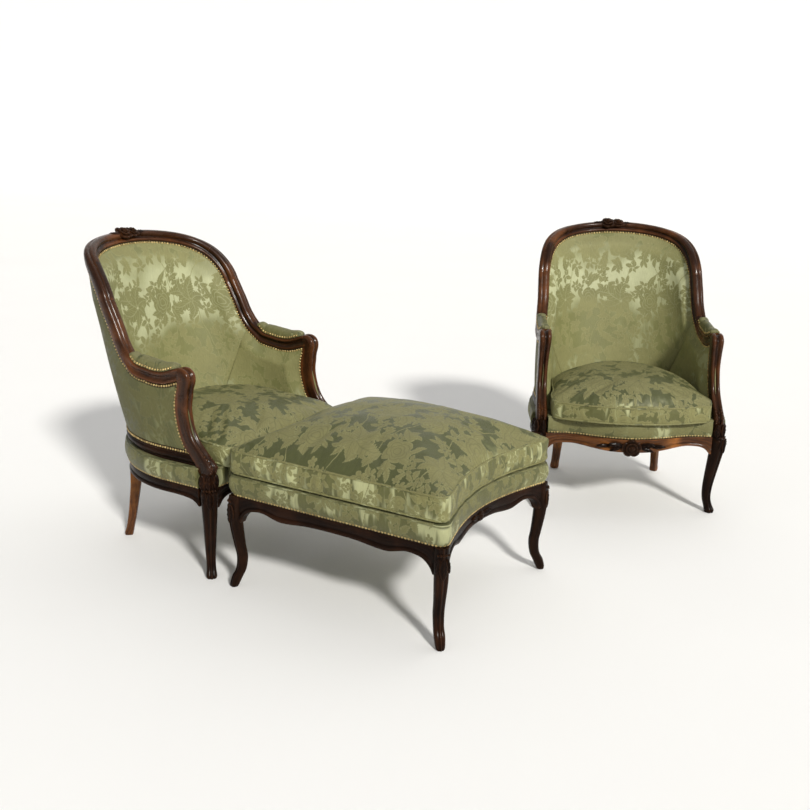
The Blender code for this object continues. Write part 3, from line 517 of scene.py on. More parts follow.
# silk damask: roses ringed by toothed leaves, leafy sprays, small flowers and stems, repeated over the cloth
damask = dict(
    width=0.272, drop=0.42, warp=0.015, warpScale=11.0, line=0.0011, stem=0.0013, feather=0.0024,
    frayScale=210.0, slubScale=420.0,
    roses=[dict(at=(0.070, 0.105), size=0.052, turn=0.5, leaves=7, grow=0.24, curl=0.30),
           dict(at=(0.203, 0.318), size=0.047, turn=1.7, leaves=6, grow=0.28, curl=-0.34)],
    sprays=[dict(at=(0.205, 0.112), size=0.056, turn=0.9, leaves=5, grow=0.30, curl=0.60),
            dict(at=(0.064, 0.312), size=0.060, turn=2.4, leaves=6, grow=0.26, curl=-0.55)],
    sprig=dict(scale=16.5, size=0.026, turn=0.0, leaves=5, grow=0.30, curl=0.45),
    flowers=[dict(at=(0.136, 0.212), size=0.023, petals=5), dict(at=(0.002, 0.208), size=0.019, petals=6),
             dict(at=(0.137, 0.015), size=0.020, petals=5), dict(at=(0.252, 0.230), size=0.014, petals=5),
             dict(at=(0.128, 0.395), size=0.014, petals=6)],
    stems=[dict(at=0.030, swing=0.022, turns=1), dict(at=0.165, swing=-0.026, turns=1)],
    # rings of a rose's petals: size, lobes and turn
    blooms=[(0.98, 5, 0.0), (0.74, 5, 0.63), (0.50, 4, 0.2), (0.27, 3, 0.9)])


def polarAt(warped, spot):
    half = (damask["width"] / 2, damask["drop"] / 2, 1)
    local = vectorCalc("SUBTRACT", warped, (*spot["at"], 0))
    local = vectorCalc("WRAP", local, half, tuple(-h for h in half))
    x, y, z = partsOf(local)
    return vectorCalc("LENGTH", local, out="Value") / spot["size"], calc("ARCTAN2", y, x)


def lobesOf(angle, lobes, turn, power):
    return calc("POWER", sizeOf(calc("SINE", angle * (lobes / 2) + turn)), power)


def leafRing(reach, angle, spot, start, length, width):
    # one toothed and veined leaf, folded round its stem's middle
    fold = 2 * pi / spot["leaves"]
    lean = (reach - 1.0) * spot["curl"] + angle
    wrapped = calc("WRAP", lean + spot["turn"], fold / 2, -fold / 2)
    far = reach / (calc("SINE", angle + spot["turn"] * 3) * spot["grow"] + 1.0)
    sideways = sizeOf(far * calc("SINE", wrapped))
    run = far * calc("COSINE", wrapped) * (2 / length) + (-1 - 2 * start / length)
    shape = (run * run * -width + width) * calc("MAXIMUM", run * -0.28 + 0.92, 0.3)
    teeth = calc("FRACT", (sideways * -1.6 + run) * 3.6)
    inside = shape * (teeth * -0.34 + 1.0) - sideways
    vein = soften(sizeOf(teeth - 0.5), 0.06, 0.13, 0.8, 0.0)
    lines = greatest(vein, fadeOut(sideways, 0.014, 0.032))
    return inside, lines * calc("GREATER_THAN", inside, 0.03)


def makeDamask():
    tree, cloth = newGroup("silkDamask", ("Motif", "Outline", "Petals", "Slub"))
    shift = noiseAt(cloth, damask["warpScale"], 1.5, 0.55, "2D", "Color")
    shift = vectorCalc("SUBTRACT", shift, (0.5, 0.5, 0.5))
    warped = vectorCalc("ADD", cloth, stretch(shift, damask["warp"] * 2, damask["warp"] * 2, 0))
    motifs, petals = [], []
    for spot in damask["roses"]:
        reach, angle = polarAt(warped, spot)
        edges = []
        for size, lobes, turn in damask["blooms"]:
            edge = lobesOf(angle, lobes, turn + spot["turn"], 0.6) * (size * 0.26) + size * 0.78
            edges.append(edge - reach)
        lines = [fadeOut(sizeOf(edge), 0.018, 0.050) for edge in edges[1:]]
        folds = calc("SINE", angle * 22.0 + reach * 9.0)
        lines.append(soften(folds, 0.5, 1.0, 0.0, 0.35) * soften(reach, 0.35, 0.9))
        leaves, veins = leafRing(reach, angle, spot, 0.92, 1.05, 0.40)
        petals += [greatest(*lines) * calc("GREATER_THAN", edges[0], 0.02), veins]
        motifs.append(greatest(edges[0], leaves) * spot["size"])
    for spot in damask["sprays"]:
        leaves, veins = leafRing(*polarAt(warped, spot), spot, 0.06, 1.12, 0.44)
        motifs.append(leaves * spot["size"])
        petals.append(veins)
    # sprigs strewn between them, one to a cell
    sprig = damask["sprig"]
    given = {"Vector": warped, "Scale": sprig["scale"]}
    middle, chance = addNode("TexVoronoi", given, ("Position", "Color"), voronoi_dimensions="2D")
    local = stretch(vectorCalc("SUBTRACT", warped, middle), 1, 1, 0)
    x, y, z = partsOf(local)
    reach = vectorCalc("LENGTH", local, out="Value") / sprig["size"]
    angle = addNode("SeparateColor", {0: chance}) * (2 * pi) + calc("ARCTAN2", y, x)
    leaves, veins = leafRing(reach, angle, sprig, 0.10, 1.12, 0.37)
    petals.append(veins * fadeOut(greatest(*motifs), -0.002, 0.0))
    motifs.append(leaves * sprig["size"])
    for spot in damask["flowers"]:
        reach, angle = polarAt(warped, spot)
        inside = lobesOf(angle, spot["petals"], 0.0, 0.7) * 0.55 + 0.45 - reach
        motifs.append(inside * spot["size"])
        petals.append(fadeOut(sizeOf(reach - 0.27), 0.05, 0.11))
    x, y, z = partsOf(warped)
    for stem in damask["stems"]:
        swing = calc("SINE", y * (2 * pi * stem["turns"] / damask["drop"])) * stem["swing"]
        aside = calc("WRAP", swing + (x - stem["at"]), damask["width"] / 2, -damask["width"] / 2)
        motifs.append(damask["stem"] - sizeOf(aside))
    frayed = noiseAt(cloth, damask["frayScale"], 2.0, 0.6, "2D") - 0.5
    motif = frayed * (damask["feather"] * 2) + greatest(*motifs)
    slub = noiseAt(stretch(cloth, 1.0, 0.12, 1.0), damask["slubScale"], 2.0, 0.6, "2D")
    return closeGroup(tree, Motif=soften(motif, -0.0005, 0.0005), Petals=greatest(*petals), Slub=slub,
                      Outline=fadeOut(sizeOf(motif - damask["line"]), 0.0004, 0.0014))


def makeWoodGrain():
    tree, along = newGroup("walnutGrain", ("Figure", "Pores"))
    bend = stretch(noiseAt(along, 9.0, 2.0, 0.5, "2D", "Color"), 0.4, 3.0, 0.0)
    run = vectorCalc("ADD", stretch(along, 5.0, 90.0, 1.0), bend)
    pores = noiseAt(stretch(along, 60.0, 1400.0, 1.0), 1.0, 2.0, 0.5, "2D")
    return closeGroup(tree, Figure=noiseAt(run, 1.0, 5.0, 0.6, "2D"), Pores=soften(pores, 0.56, 0.72))


damaskGroup = makeDamask()
grainGroup = makeWoodGrain()


def newMaterial(name):
    material = bpy.data.materials.new(name)
    material.use_nodes = True
    return material, sourceOf(material.node_tree, "TexCoord", "Object")


def marksBeside(place):
    return sourceOf(place.tree, "UVMap", "UV", uv_map="UVMap")


def finishMaterial(material, given, relief=None, strength=0.9):
    shader = material.node_tree.nodes["Principled BSDF"]
    for label, value in given.items():
        feed(shader.inputs[label], value)
    if relief is not None:
        bump = addNode("Bump", {"Strength": strength, "Distance": 1.0, "Height": relief})
        feed(shader.inputs["Normal"], bump)
    return material


def silkFinish(name, look):
    material, place = newMaterial(name)
    uv = marksBeside(place)
    motif, outline, petals, slub = placeGroup(damaskGroup, uv, ("Motif", "Outline", "Petals", "Slub"))
    height = partsOf(place)[2]
    upward = soften(partsOf(sourceOf(uv.tree, "NewGeometry", "Normal"))[2], 0.30, 0.66)
    cloudy = noiseAt(place, 5.0)
    # painted sheen: lighter satin colours painted in cloudy patches, in streaks along the gathers and in a
    # band by height, standing in for light caught by the satin
    lifted = (cloudy - 0.5) * 0.34 + height
    sheenBand = soften(lifted, 0.60, 0.72) * soften(lifted, 0.80, 0.90, 1.0, 0.12)
    gathers = (noiseAt(stretch(uv, 34.0, 5.0, 1.0), 1.0, 2.0, 0.5, "2D") - 0.5) * (1.0 - upward)
    shine = soften(gathers * look["sheenStreak"] + cloudy, 0.51, 0.64, 0.0, look["sheenPatch"])
    if look["sheenBanded"]:
        shine = greatest(sheenBand, shine)
    # painted light and shade by facing: faces turned up take their own ground and motif colours
    ground = mixColours(upward, mixColours(shine, look["ground"], look["paintedSheen"]), look["groundUpShading"])
    lit = mixColours(upward, mixColours(shine, look["motif"], look["motifLit"]), look["motifUpShading"])
    colour = mixColours(motif, ground, lit)
    colour = mixColours(petals * look["lines"], colour, mixColours(0.08, ground, look["thread"]))
    colour = mixColours(outline * 0.26, colour, look["thread"])
    fade = (slub * 0.34 + 0.83) * (noiseAt(place, 17.0, 3.0, 0.6) * 0.30 + 0.85)
    colour = mixColours(1.0, colour, addNode("CombineColor", {0: fade, 1: fade, 2: fade}), "MULTIPLY")
    # ribs of the weave, slubs and the small pulls of a tight cover
    warp, weft, flat = partsOf(uv)
    weave = calc("SINE", warp * (2 * pi / 0.0012)) * calc("SINE", weft * (2 * pi / 0.0009)) * 0.00006
    pulls = gathers * look["gather"] + noiseAt(place, look["pullScale"], 3.0, 0.55) * look["pull"]
    relief = weave + ((petals * -0.4 + motif) * 0.00022 + pulls) + slub * 0.0003
    return finishMaterial(material, {
        "Base Color": colour, "Roughness": cloudy * 0.08 + (motif * 0.16 + look["rough"]),
        "Specular IOR Level": 0.28, "Sheen Weight": look["sheen"], "Sheen Roughness": 0.35,
        "Sheen Tint": (0.80, 0.80, 0.42)}, relief)


# copies of one silk damask, their colours set lighter or darker part by part as painted light and shade; the
# outer cover's copy is darkened as painted shade
wallSilkPaintedLight = silkFinish("silkUprightPaintedLight", dict(
    ground=(0.200, 0.201, 0.079), motif=(0.240, 0.231, 0.097), paintedSheen=(0.450, 0.465, 0.275),
    motifLit=(0.200, 0.198, 0.080), groundUpShading=(0.170, 0.172, 0.070), motifUpShading=(0.215, 0.207, 0.090),
    thread=(0.36, 0.36, 0.18), lines=0.32, rough=0.40, sheenPatch=0.45, sheenStreak=0.2, sheenBanded=True,
    pullScale=26.0, pull=0.0010, gather=0.0007, sheen=0.05))
borderSilkPaintedLight = silkFinish("silkBorderPaintedLight", dict(
    ground=(0.096, 0.097, 0.036), motif=(0.154, 0.147, 0.058), paintedSheen=(0.405, 0.415, 0.225),
    motifLit=(0.150, 0.148, 0.062), groundUpShading=(0.085, 0.090, 0.040), motifUpShading=(0.165, 0.158, 0.074),
    thread=(0.28, 0.28, 0.14), lines=0.40, rough=0.40, sheenPatch=0.75, sheenStreak=0.5, sheenBanded=False,
    pullScale=24.0, pull=0.0012, gather=0.0014, sheen=0.04))
coverSilkPaintedShade = silkFinish("silkCoverPaintedShade", dict(
    ground=(0.086, 0.087, 0.030), motif=(0.112, 0.108, 0.040), paintedSheen=(0.175, 0.180, 0.080),
    motifLit=(0.105, 0.102, 0.038), groundUpShading=(0.085, 0.090, 0.040), motifUpShading=(0.165, 0.158, 0.074),
    thread=(0.20, 0.20, 0.09), lines=0.35, rough=0.46, sheenPatch=0.7, sheenStreak=0.3, sheenBanded=False,
    pullScale=24.0, pull=0.0012, gather=0.0012, sheen=0.02))
seatSilkPaintedLight = silkFinish("silkSeatPaintedLight", dict(
    ground=(0.106, 0.107, 0.038), motif=(0.198, 0.188, 0.074), paintedSheen=(0.430, 0.440, 0.230),
    motifLit=(0.184, 0.179, 0.069), groundUpShading=(0.072, 0.078, 0.030), motifUpShading=(0.182, 0.173, 0.073),
    thread=(0.30, 0.30, 0.15), lines=0.46, rough=0.38, sheenPatch=0.9, sheenStreak=0.55, sheenBanded=False,
    pullScale=20.0, pull=0.0020, gather=0.0030, sheen=0.04))


def woodFinish(name, look):
    material, place = newMaterial(name)
    figure, pores = placeGroup(grainGroup, marksBeside(place), ("Figure", "Pores"))
    cloudy = noiseAt(place, 6.5, 3.0, 0.6)
    colour = mixColours(soften(figure, 0.36, 0.66), look["dark"], look["mid"])
    colour = mixColours(soften(cloudy, 0.46, 0.70) * look["red"], colour, look["warm"])
    colour = mixColours(pores * 0.5, colour, look["poreAndShade"])
    edges = sourceOf(place.tree, "NewGeometry", "Pointiness")
    worn = soften(edges, 0.515, 0.57) * fadeOut(edges, 0.60, 0.66) * (cloudy * 0.6 + 0.3)
    colour = mixColours(worn * look["wear"], colour, look["worn"])
    # painted shade: hollows and coves, where the pointiness is low, darkened toward the pore colour
    colour = mixColours(soften(edges, 0.42, 0.497, 0.9, 0.0), colour, look["poreAndShade"])
    if "lowShade" in look:     # painted shade: darker down at the knuckles, toward the bottom of the frame
        colour = mixColours(soften(partsOf(place)[2], 0.30, 0.50, look["lowShade"], 0.0), colour, look["poreAndShade"])
    rough = pores * 0.12 + (noiseAt(place, 28.0, 3.0, 0.6) * 0.20 + look["rough"])
    relief = pores * -0.00008 + noiseAt(place, 70.0) * 0.0005
    return finishMaterial(material, {
        "Base Color": colour, "Roughness": rough, "Coat Weight": look["coat"], "Coat Roughness": 0.12,
        "Specular IOR Level": look["shine"]}, relief, 0.8)


frameWood = woodFinish("walnutFrame", dict(
    dark=(0.018, 0.0065, 0.0028), mid=(0.048, 0.017, 0.0058), warm=(0.130, 0.043, 0.012), red=0.85, lowShade=0.70,
    poreAndShade=(0.005, 0.003, 0.002), worn=(0.20, 0.066, 0.019), wear=0.6, rough=0.18, coat=0.12, shine=0.14))
# the darkest copy of the walnut: partly its dark polish, partly painted shade, on legs, rails, foot mouldings
# and carvings
legWoodPolishAndShade = woodFinish("walnutLegPolishAndShade", dict(
    dark=(0.0055, 0.0024, 0.0014), mid=(0.012, 0.0052, 0.0026), warm=(0.036, 0.0125, 0.0048), red=0.5,
    poreAndShade=(0.003, 0.002, 0.0015), worn=(0.12, 0.049, 0.020), wear=0.28, rough=0.22, coat=0.04, shine=0.04))
# painted light: a lighter, warmer copy of the walnut for the second chair's front rail and the back legs
railWoodPaintedLight = woodFinish("walnutRailPaintedLight", dict(
    dark=(0.045, 0.016, 0.005), mid=(0.125, 0.044, 0.011), warm=(0.36, 0.130, 0.026), red=0.9,
    poreAndShade=(0.007, 0.003, 0.002), worn=(0.28, 0.11, 0.040), wear=0.4, rough=0.20, coat=0.12, shine=0.14))


def brassFinish():
    material, place = newMaterial("agedBrass")
    tarnish = noiseAt(place, 160.0, 2.0, 0.6)
    colour = mixColours(soften(tarnish, 0.42, 0.62), (0.64, 0.48, 0.20), (0.23, 0.15, 0.055))
    rough = tarnish * 0.35 + 0.18
    return finishMaterial(material, {"Base Color": colour, "Roughness": rough, "Metallic": 0.55})


def shadowBraidFinish():
    # painted shadow: a narrow near-black braid that the nails are driven through, standing in for the shadow
    # between nails, cloth and wood
    material, place = newMaterial("nailShadowBraid")
    threads = noiseAt(place, 420.0, 2.0, 0.6)
    colour = mixColours(threads, (0.010, 0.007, 0.003), (0.030, 0.022, 0.010))
    return finishMaterial(material, {"Base Color": colour, "Roughness": 0.8, "Specular IOR Level": 0.2})


brass = brassFinish()
braid = shadowBraidFinish()
print("materials made")


# welts: a thin tube round a closed line
def weltPiece(points, radius, sides=8):
    points = [Vector(p) for p in points]
    rows = []
    for before, point, after in zip(points[-1:] + points, points, points[1:] + points[:1]):
        along = (after - before).normalized()
        side = along.cross(Vector((0, 0, 1))).normalized()
        up = side.cross(along).normalized()
        turns = [2 * pi * k / sides for k in range(sides)]
        rows.append([point + (side * cos(turn) + up * sin(turn)) * radius for turn in turns])
    rows = np.array(rows + rows[:1])
    marks = spreadMarks(reachAlong(rows.mean(axis=1)), np.linspace(0, 0.02, sides + 1))
    return latticePiece(rows, marks, filled=False)


# close nailing
nail = dict(pitch=0.0104, radius=0.0041, height=0.0033, cut=0.0006, braid=0.0072, shadowBraidRise=0.0004,
            droop=-0.15, rise=0.0048)


def makeNail():
    piece = ballPiece(nail["radius"], 8, 6)
    bpy.ops.object.mode_set(mode="EDIT")
    bpy.ops.mesh.select_all(action="SELECT")
    bpy.ops.mesh.bisect(plane_co=(0, 0, nail["cut"]), plane_no=(0, 0, 1), clear_inner=True, use_fill=True)
    bpy.ops.mesh.select_all(action="SELECT")
    bpy.ops.transform.resize(value=(1, 1, nail["height"] / nail["radius"]))
    bpy.ops.object.mode_set(mode="OBJECT")
    points = np.array([v.co for v in piece.data.vertices])
    faces = [tuple(p.vertices) for p in piece.data.polygons]
    dropPiece(piece)
    return points, faces


nailPoints, nailFaces = makeNail()


def nailRow(points, normals):
    points, normals = np.array(points, float), np.array(normals, float)
    reach = reachAlong(points)
    at = np.linspace(0, reach[-1], max(2, int(round(reach[-1] / nail["pitch"]))) + 1)
    where = np.stack([np.interp(at, reach, points[:, k]) for k in range(3)], axis=1)
    facing = np.stack([np.interp(at, reach, normals[:, k]) for k in range(3)], axis=1)
    return list(zip(where, facing))


def shadowBraidStrip(points, normals):
    # painted shadow: a low flat near-black strip under a row of nails
    points = [Vector(p) for p in points]
    rows = []
    for before, point, after, normal in zip(points[:1] + points, points, points[1:] + points[-1:], normals):
        normal = Vector(normal).normalized()
        side = (after - before).cross(normal).normalized() * nail["braid"]
        lift = normal * nail["shadowBraidRise"]
        rows.append([point - side - lift * 2, point - side * 0.8 + lift, point + lift * 1.6,
                     point + side * 0.8 + lift, point + side - lift * 2, point - lift * 3])
    return latticePiece(rows, smooth=60)


def nailPiece(rows):
    vertices, faces = [], []
    for where, facing in rows:
        turn = np.array(Vector((0, 0, 1)).rotation_difference(Vector(facing)).to_matrix())
        start = len(vertices) * len(nailPoints)
        vertices.append(nailPoints @ turn.T + where)
        faces.extend(tuple(start + v for v in face) for face in nailFaces)
    mesh = bpy.data.meshes.new("nails")
    mesh.from_pydata(np.concatenate(vertices).tolist(), [], faces)
    mesh.uv_layers.new(name="UVMap")
    mesh.update()
    mesh.shade_smooth()
    piece = bpy.data.objects.new("nails", mesh)
    scene.collection.objects.link(piece)
    return piece


def setNailing(label, lines, rows=()):
    # rows on the sitter's right, and their mirror image
    rows = list(rows)
    for points, normals in lines:
        rows += nailRow(points, normals)
    # near-black strips under the rows, as painted shadow
    strips = [shadowBraidStrip(points, normals) for points, normals in lines]
    strips += [copyPiece(strip, "strip", flip=True) for strip in strips]
    setChairPiece(joinPieces(strips), label + "_braid", braid)
    flip = np.array((-1, 1, 1))
    rows += [(where * flip, facing * flip) for where, facing in rows]
    setChairPiece(nailPiece(rows), label + "_nails", brass)


# carving: a leaf with ribs and lobes, a rose, and beads
roseRings = [dict(count=5, out=0.62, size=0.52, lift=0.10, lean=20),
             dict(count=5, out=0.36, size=0.42, lift=0.32, lean=38),
             dict(count=3, out=0.16, size=0.30, lift=0.50, lean=58)]
petalShape = (0.82, 1.0, 0.40, 1)
diagonal = Vector((1, 1, 0)).normalized()
across = Vector((-diagonal.y, diagonal.x, 0))


def leafPiece(length, width, thick, lobes=4, hollow=0.0):
    rows = []
    for t in np.linspace(0, 1, 15):
        reach = width * (sin(pi * min(1, t * 0.94 + 0.05)) ** 0.7) * (0.80 + 0.20 * abs(sin(lobes * pi * t)))
        row = []
        for v in np.linspace(-1, 1, 9):
            ribs = 0.22 * sin(lobes * 2 * pi * (t - 0.35 * abs(v)))
            rise = thick * ((1 - abs(v) ** 2.2) * (0.75 + ribs) + 0.35 * max(0, 1 - abs(v) * 5))
            rise *= sin(pi * min(1, t * 0.93 + 0.06)) ** 0.5
            row.append((t * length, v * reach, rise - hollow * (v * reach) ** 2))
        for v in np.linspace(1, -1, 5):
            row.append((t * length, v * reach * 0.96, -thick * 0.5 - hollow * (v * reach) ** 2))
        rows.append(row)
    return latticePiece(rows, smooth=60)


def rosePiece(radius):
    petals = []
    for place, ring in enumerate(roseRings):
        for k in range(ring["count"]):
            petal = ballPiece(radius * ring["size"], 12, 8)
            turn = Matrix.Rotation(2 * pi * (k + 0.5 * place) / ring["count"], 4, "Z")
            out = Matrix.Translation((radius * ring["out"], 0, radius * ring["lift"]))
            lean = Matrix.Rotation(-radians(ring["lean"]), 4, "Y")
            petal.data.transform(turn @ out @ lean @ Matrix.Diagonal(petalShape))
            petals.append(petal)
    bud = ballPiece(radius * 0.24, 10, 8)
    bud.data.transform(Matrix.Translation((0, 0, radius * 0.62)))
    petals.append(bud)
    for petal in petals:
        petal.data.shade_smooth()
    return joinPieces(petals)


def setOn(piece, point, normal, along, size=(1, 1, 1)):
    normal = Vector(normal).normalized()
    along = Vector(along)
    along = (along - normal * along.dot(normal)).normalized()
    turn = Matrix((along, normal.cross(along), normal)).transposed().to_4x4()
    piece.data.transform(Matrix.Translation(Vector(point)) @ turn @ Matrix.Diagonal((*size, 1)))
    return piece


def beadPiece(point, radius):
    bead = ballPiece(radius, 10, 6)
    bead.data.transform(Matrix.Translation(Vector(point)))
    bead.data.shade_smooth()
    return bead


def beadRow(centre, half, height, reach, gap, shrink, radius):
    made = []
    for k in range(-2, 3):
        point = Vector((*centre, height)) + diagonal * half * (reach - 0.10 * abs(k)) + across * k * gap
        made.append(beadPiece(point, radius * (1.0 - shrink * abs(k))))
    return made


# seat rails
frontBowShares = [(0.0, 0.0), (0.3, 0.05), (0.65, 0.66), (1.0, 1.0)]
frontDropShares = [(0.0, 1.8), (0.03, 1.5), (0.08, 1.2), (0.16, 1.04), (0.32, 1.0), (0.55, 1.22),
                   (0.75, 1.38), (1.0, 1.38)]
sideDropShares = [(0.0, 1.62), (0.05, 1.38), (0.11, 1.2), (0.2, 1.08), (0.45, 1.0), (0.8, 1.05), (1.0, 1.1)]
stoolDropShares = [(0.0, 2.3), (0.025, 1.85), (0.07, 1.4), (0.13, 1.12), (0.25, 1.0), (0.45, 1.38),
                   (0.75, 1.15), (1.0, 1.1)]
# rail section: into its thickness and down its height
railShares = [(0.22, 0.0), (0.06, 0.04), (0.0, 0.12), (0.0, 0.30), (0.015, 0.52), (0.10, 0.60), (0.11, 0.66),
              (0.0, 0.72), (-0.055, 0.80), (-0.055, 0.90), (0.02, 0.97), (0.18, 1.0), (0.6, 1.0), (1.0, 1.0),
              (1.0, 0.5), (1.0, 0.0)]
# leaves beside the front rail's rose: start, length, tilt and width
railLeaves = ((0.020, 0.062, 0.20, 0.012), (0.030, 0.050, -0.35, 0.009), (0.070, 0.052, 0.02, 0.008))
frontReach = leg["side"] - leg["half"] - seat["gap"]
behindLeg = leg["forward"] - leg["half"] - seat["gap"]
tenon = 0.005     # how far a rail runs into its leg
halfTurn = leg["backHalf"] / (seat["half"] * pi / 2)
gapTurn = seat["gap"] / (seat["half"] * pi / 2) * 1.4


def seatCurve(turnShare, offset):
    half, back = seat["half"] + offset, seat["back"] + offset
    return planPoint(turnShare, half, seat["turn"], back, wall["seatFull"], behindLeg)


def frontCurve(side, offset=0.0):
    share = clampShare(1 - abs(side) / frontReach)
    return seat["front"] + seat["bow"] * blendAt(frontBowShares, share) + offset


def railRow(outer, inward, drop):
    row = []
    for into, down in railShares:
        flat = outer + inward * seat["railThick"] * into
        row.append(Vector((flat.x, flat.y, seat["railTop"] - seat["railHeight"] * drop * down)))
    return row


def curvedRailRow(turnShare, drop):
    outer = seatCurve(turnShare, 0)
    inward = (seatCurve(turnShare, -seat["railThick"]) - outer).normalized()
    return railRow(outer, Vector((-1, 0)) if turnShare <= 0 else inward, drop)


def straightRail(reach, steps, shares, outerAt, inward):
    rows = []
    for at in np.linspace(-reach - tenon, reach + tenon, steps):
        rows.append(railRow(outerAt(at), Vector(inward), blendAt(shares, clampShare(1 - abs(at) / reach))))
    return latticePiece(rows)


def addRails():
    rail = straightRail(frontReach, 111, frontDropShares, lambda x: Vector((x, frontCurve(x))), (0, -1))
    flowerAt = Vector((0, frontCurve(0) + 0.002, seat["railTop"] - seat["railHeight"] * 0.86))
    carving = [setOn(rosePiece(0.035), flowerAt, (0, 1, 0), (0, 0, 1), (0.90, 1.0, 0.62))]
    for way in (-1, 1):
        for start, reach, tilt, wide in railLeaves:
            x, end = way * start, way * (start + reach)
            point = Vector((x, frontCurve(x) - 0.0005, flowerAt.z + 0.004 - tilt * 0.004))
            far = Vector((end, frontCurve(end), point.z + tilt * reach))
            carving.append(setOn(leafPiece(reach, wide, 0.006), point, (-0.15 * way, 1, 0), far - point))
    made = setChairPiece(rail, "front_rail_shaped", railWoodPaintedLight, "walnut", "front_rail")
    made[0].data.materials[0] = legWoodPolishAndShade     # painted shade: the first chair's rail, standing in the stool's shadow, takes the dark leg copy
    setChairPiece(joinPieces(carving), "front_rail_flowers", legWoodPolishAndShade, "walnut")
    legAt = leg["turn"] - halfTurn - gapTurn
    shares = np.linspace(0, 1, 49)
    rows = [curvedRailRow(-1 + (legAt + 1) * share, blendAt(sideDropShares, share)) for share in shares]
    setChairPiece(latticePiece(rows), "side_rail_shaped", legWoodPolishAndShade, "walnut", "side_rail", sides=pair)
    turns = np.linspace(leg["turn"] + halfTurn + gapTurn, 1, 25)
    rows = [curvedRailRow(turnShare, 1.1) for turnShare in turns]
    setChairPiece(latticePiece(mirrored(rows)), "back_rail_shaped", legWoodPolishAndShade, "walnut", "back_rail")
    print("chair rails made")


addRails()

# legs: height, swing along the diagonal, and size, all as shares
frontLegShares = [(0, -0.06, 0.56), (0.010, -0.04, 0.66), (0.032, -0.05, 0.70), (0.08, -0.32, 0.62),
                  (0.155, -0.60, 0.62), (0.27, -0.60, 0.70), (0.42, -0.35, 0.81), (0.58, -0.02, 0.93),
                  (0.72, 0.24, 1.04), (0.815, 0.30, 1.10), (0.858, 0.06, 1.0), (1, 0, 0.98)]
stoolLegShares = [(0, 0.46, 0.50), (0.014, 0.43, 0.62), (0.05, 0.32, 0.72), (0.12, 0.04, 0.8),
                  (0.2, -0.36, 0.76), (0.33, -0.50, 0.8), (0.46, -0.27, 0.84), (0.66, 0.02, 0.98),
                  (0.82, 0.12, 1.02), (0.93, 0.06, 1.04), (1, 0.0, 1.0)]
backLegShares = [(0, 1.06, 0.72), (0.04, 1.04, 0.82), (0.12, 0.88, 0.76), (0.34, 0.56, 0.80),
                 (0.6, 0.27, 0.92), (0.8, 0.05, 1.0)]
# leg section: an arris along the diagonal with a cove on each side of it
arrisShares = [(1.10, 0.0), (1.04, 0.12), (0.90, 0.22), (0.82, 0.32), (0.84, 0.44), (0.84, 0.58),
               (0.76, 0.74), (0.56, 0.90), (0.20, 0.99), (-0.2, 1.0), (-0.62, 0.84), (-0.92, 0.62),
               (-1.0, 0.3)]
arrisShares = arrisShares + [(-1.02, 0.0)] + [(x, -y) for x, y in arrisShares[:0:-1]]
# back leg's block: along the rail and into it
blockShares = [(-1, 0), (0, 0), (1, 0), (1, 0.5), (1, 1), (0, 1), (-1, 1), (-1, 0.5)]
# leaves on a knee: side, length, width and drop
kneeLeaves = ((0, 1.0, 0.0125, 0.0), (-1, 0.72, 0.0085, 0.001), (1, 0.72, 0.0085, 0.001))


def legRows(shares, top, half, centre, blockFrom, steps=44):
    rows = []
    for s in np.linspace(0, len(shares) - 1, steps):
        heightShare, swing, size = splineAt(shares, s)
        middle = Vector(centre) + diagonal.xy * leg["sweep"] * swing
        square = ramp((heightShare - blockFrom) / 0.03)
        row = []
        for out, side in arrisShares:
            flat = middle + (diagonal.xy * out + across.xy * side) * half * size
            boxed = [max(c - half, min(c + half, at)) for c, at in zip(centre, flat)]
            row.append((*flat.lerp(Vector(boxed), square), max(0.0, heightShare) * top))
        rows.append(row)
    return rows


def kneeCarving(centre, half, kneeHeight, drop, spread):
    # a leaf down the knee and a smaller one each side
    made = []
    base = Vector((*centre, 0)) + diagonal * half * spread
    for side, share, width, lift in kneeLeaves:
        top = base + across * side * half * 0.62 - diagonal * half * 0.22 * abs(side)
        top.z += kneeHeight - lift
        along = Vector((0, 0, -1)) - diagonal * 0.16 + across * side * 0.12
        leaf = leafPiece(drop * share, width, 0.0045, 4, 14.0)
        made.append(setOn(leaf, top, diagonal + across * side * 0.7, along))
    return made


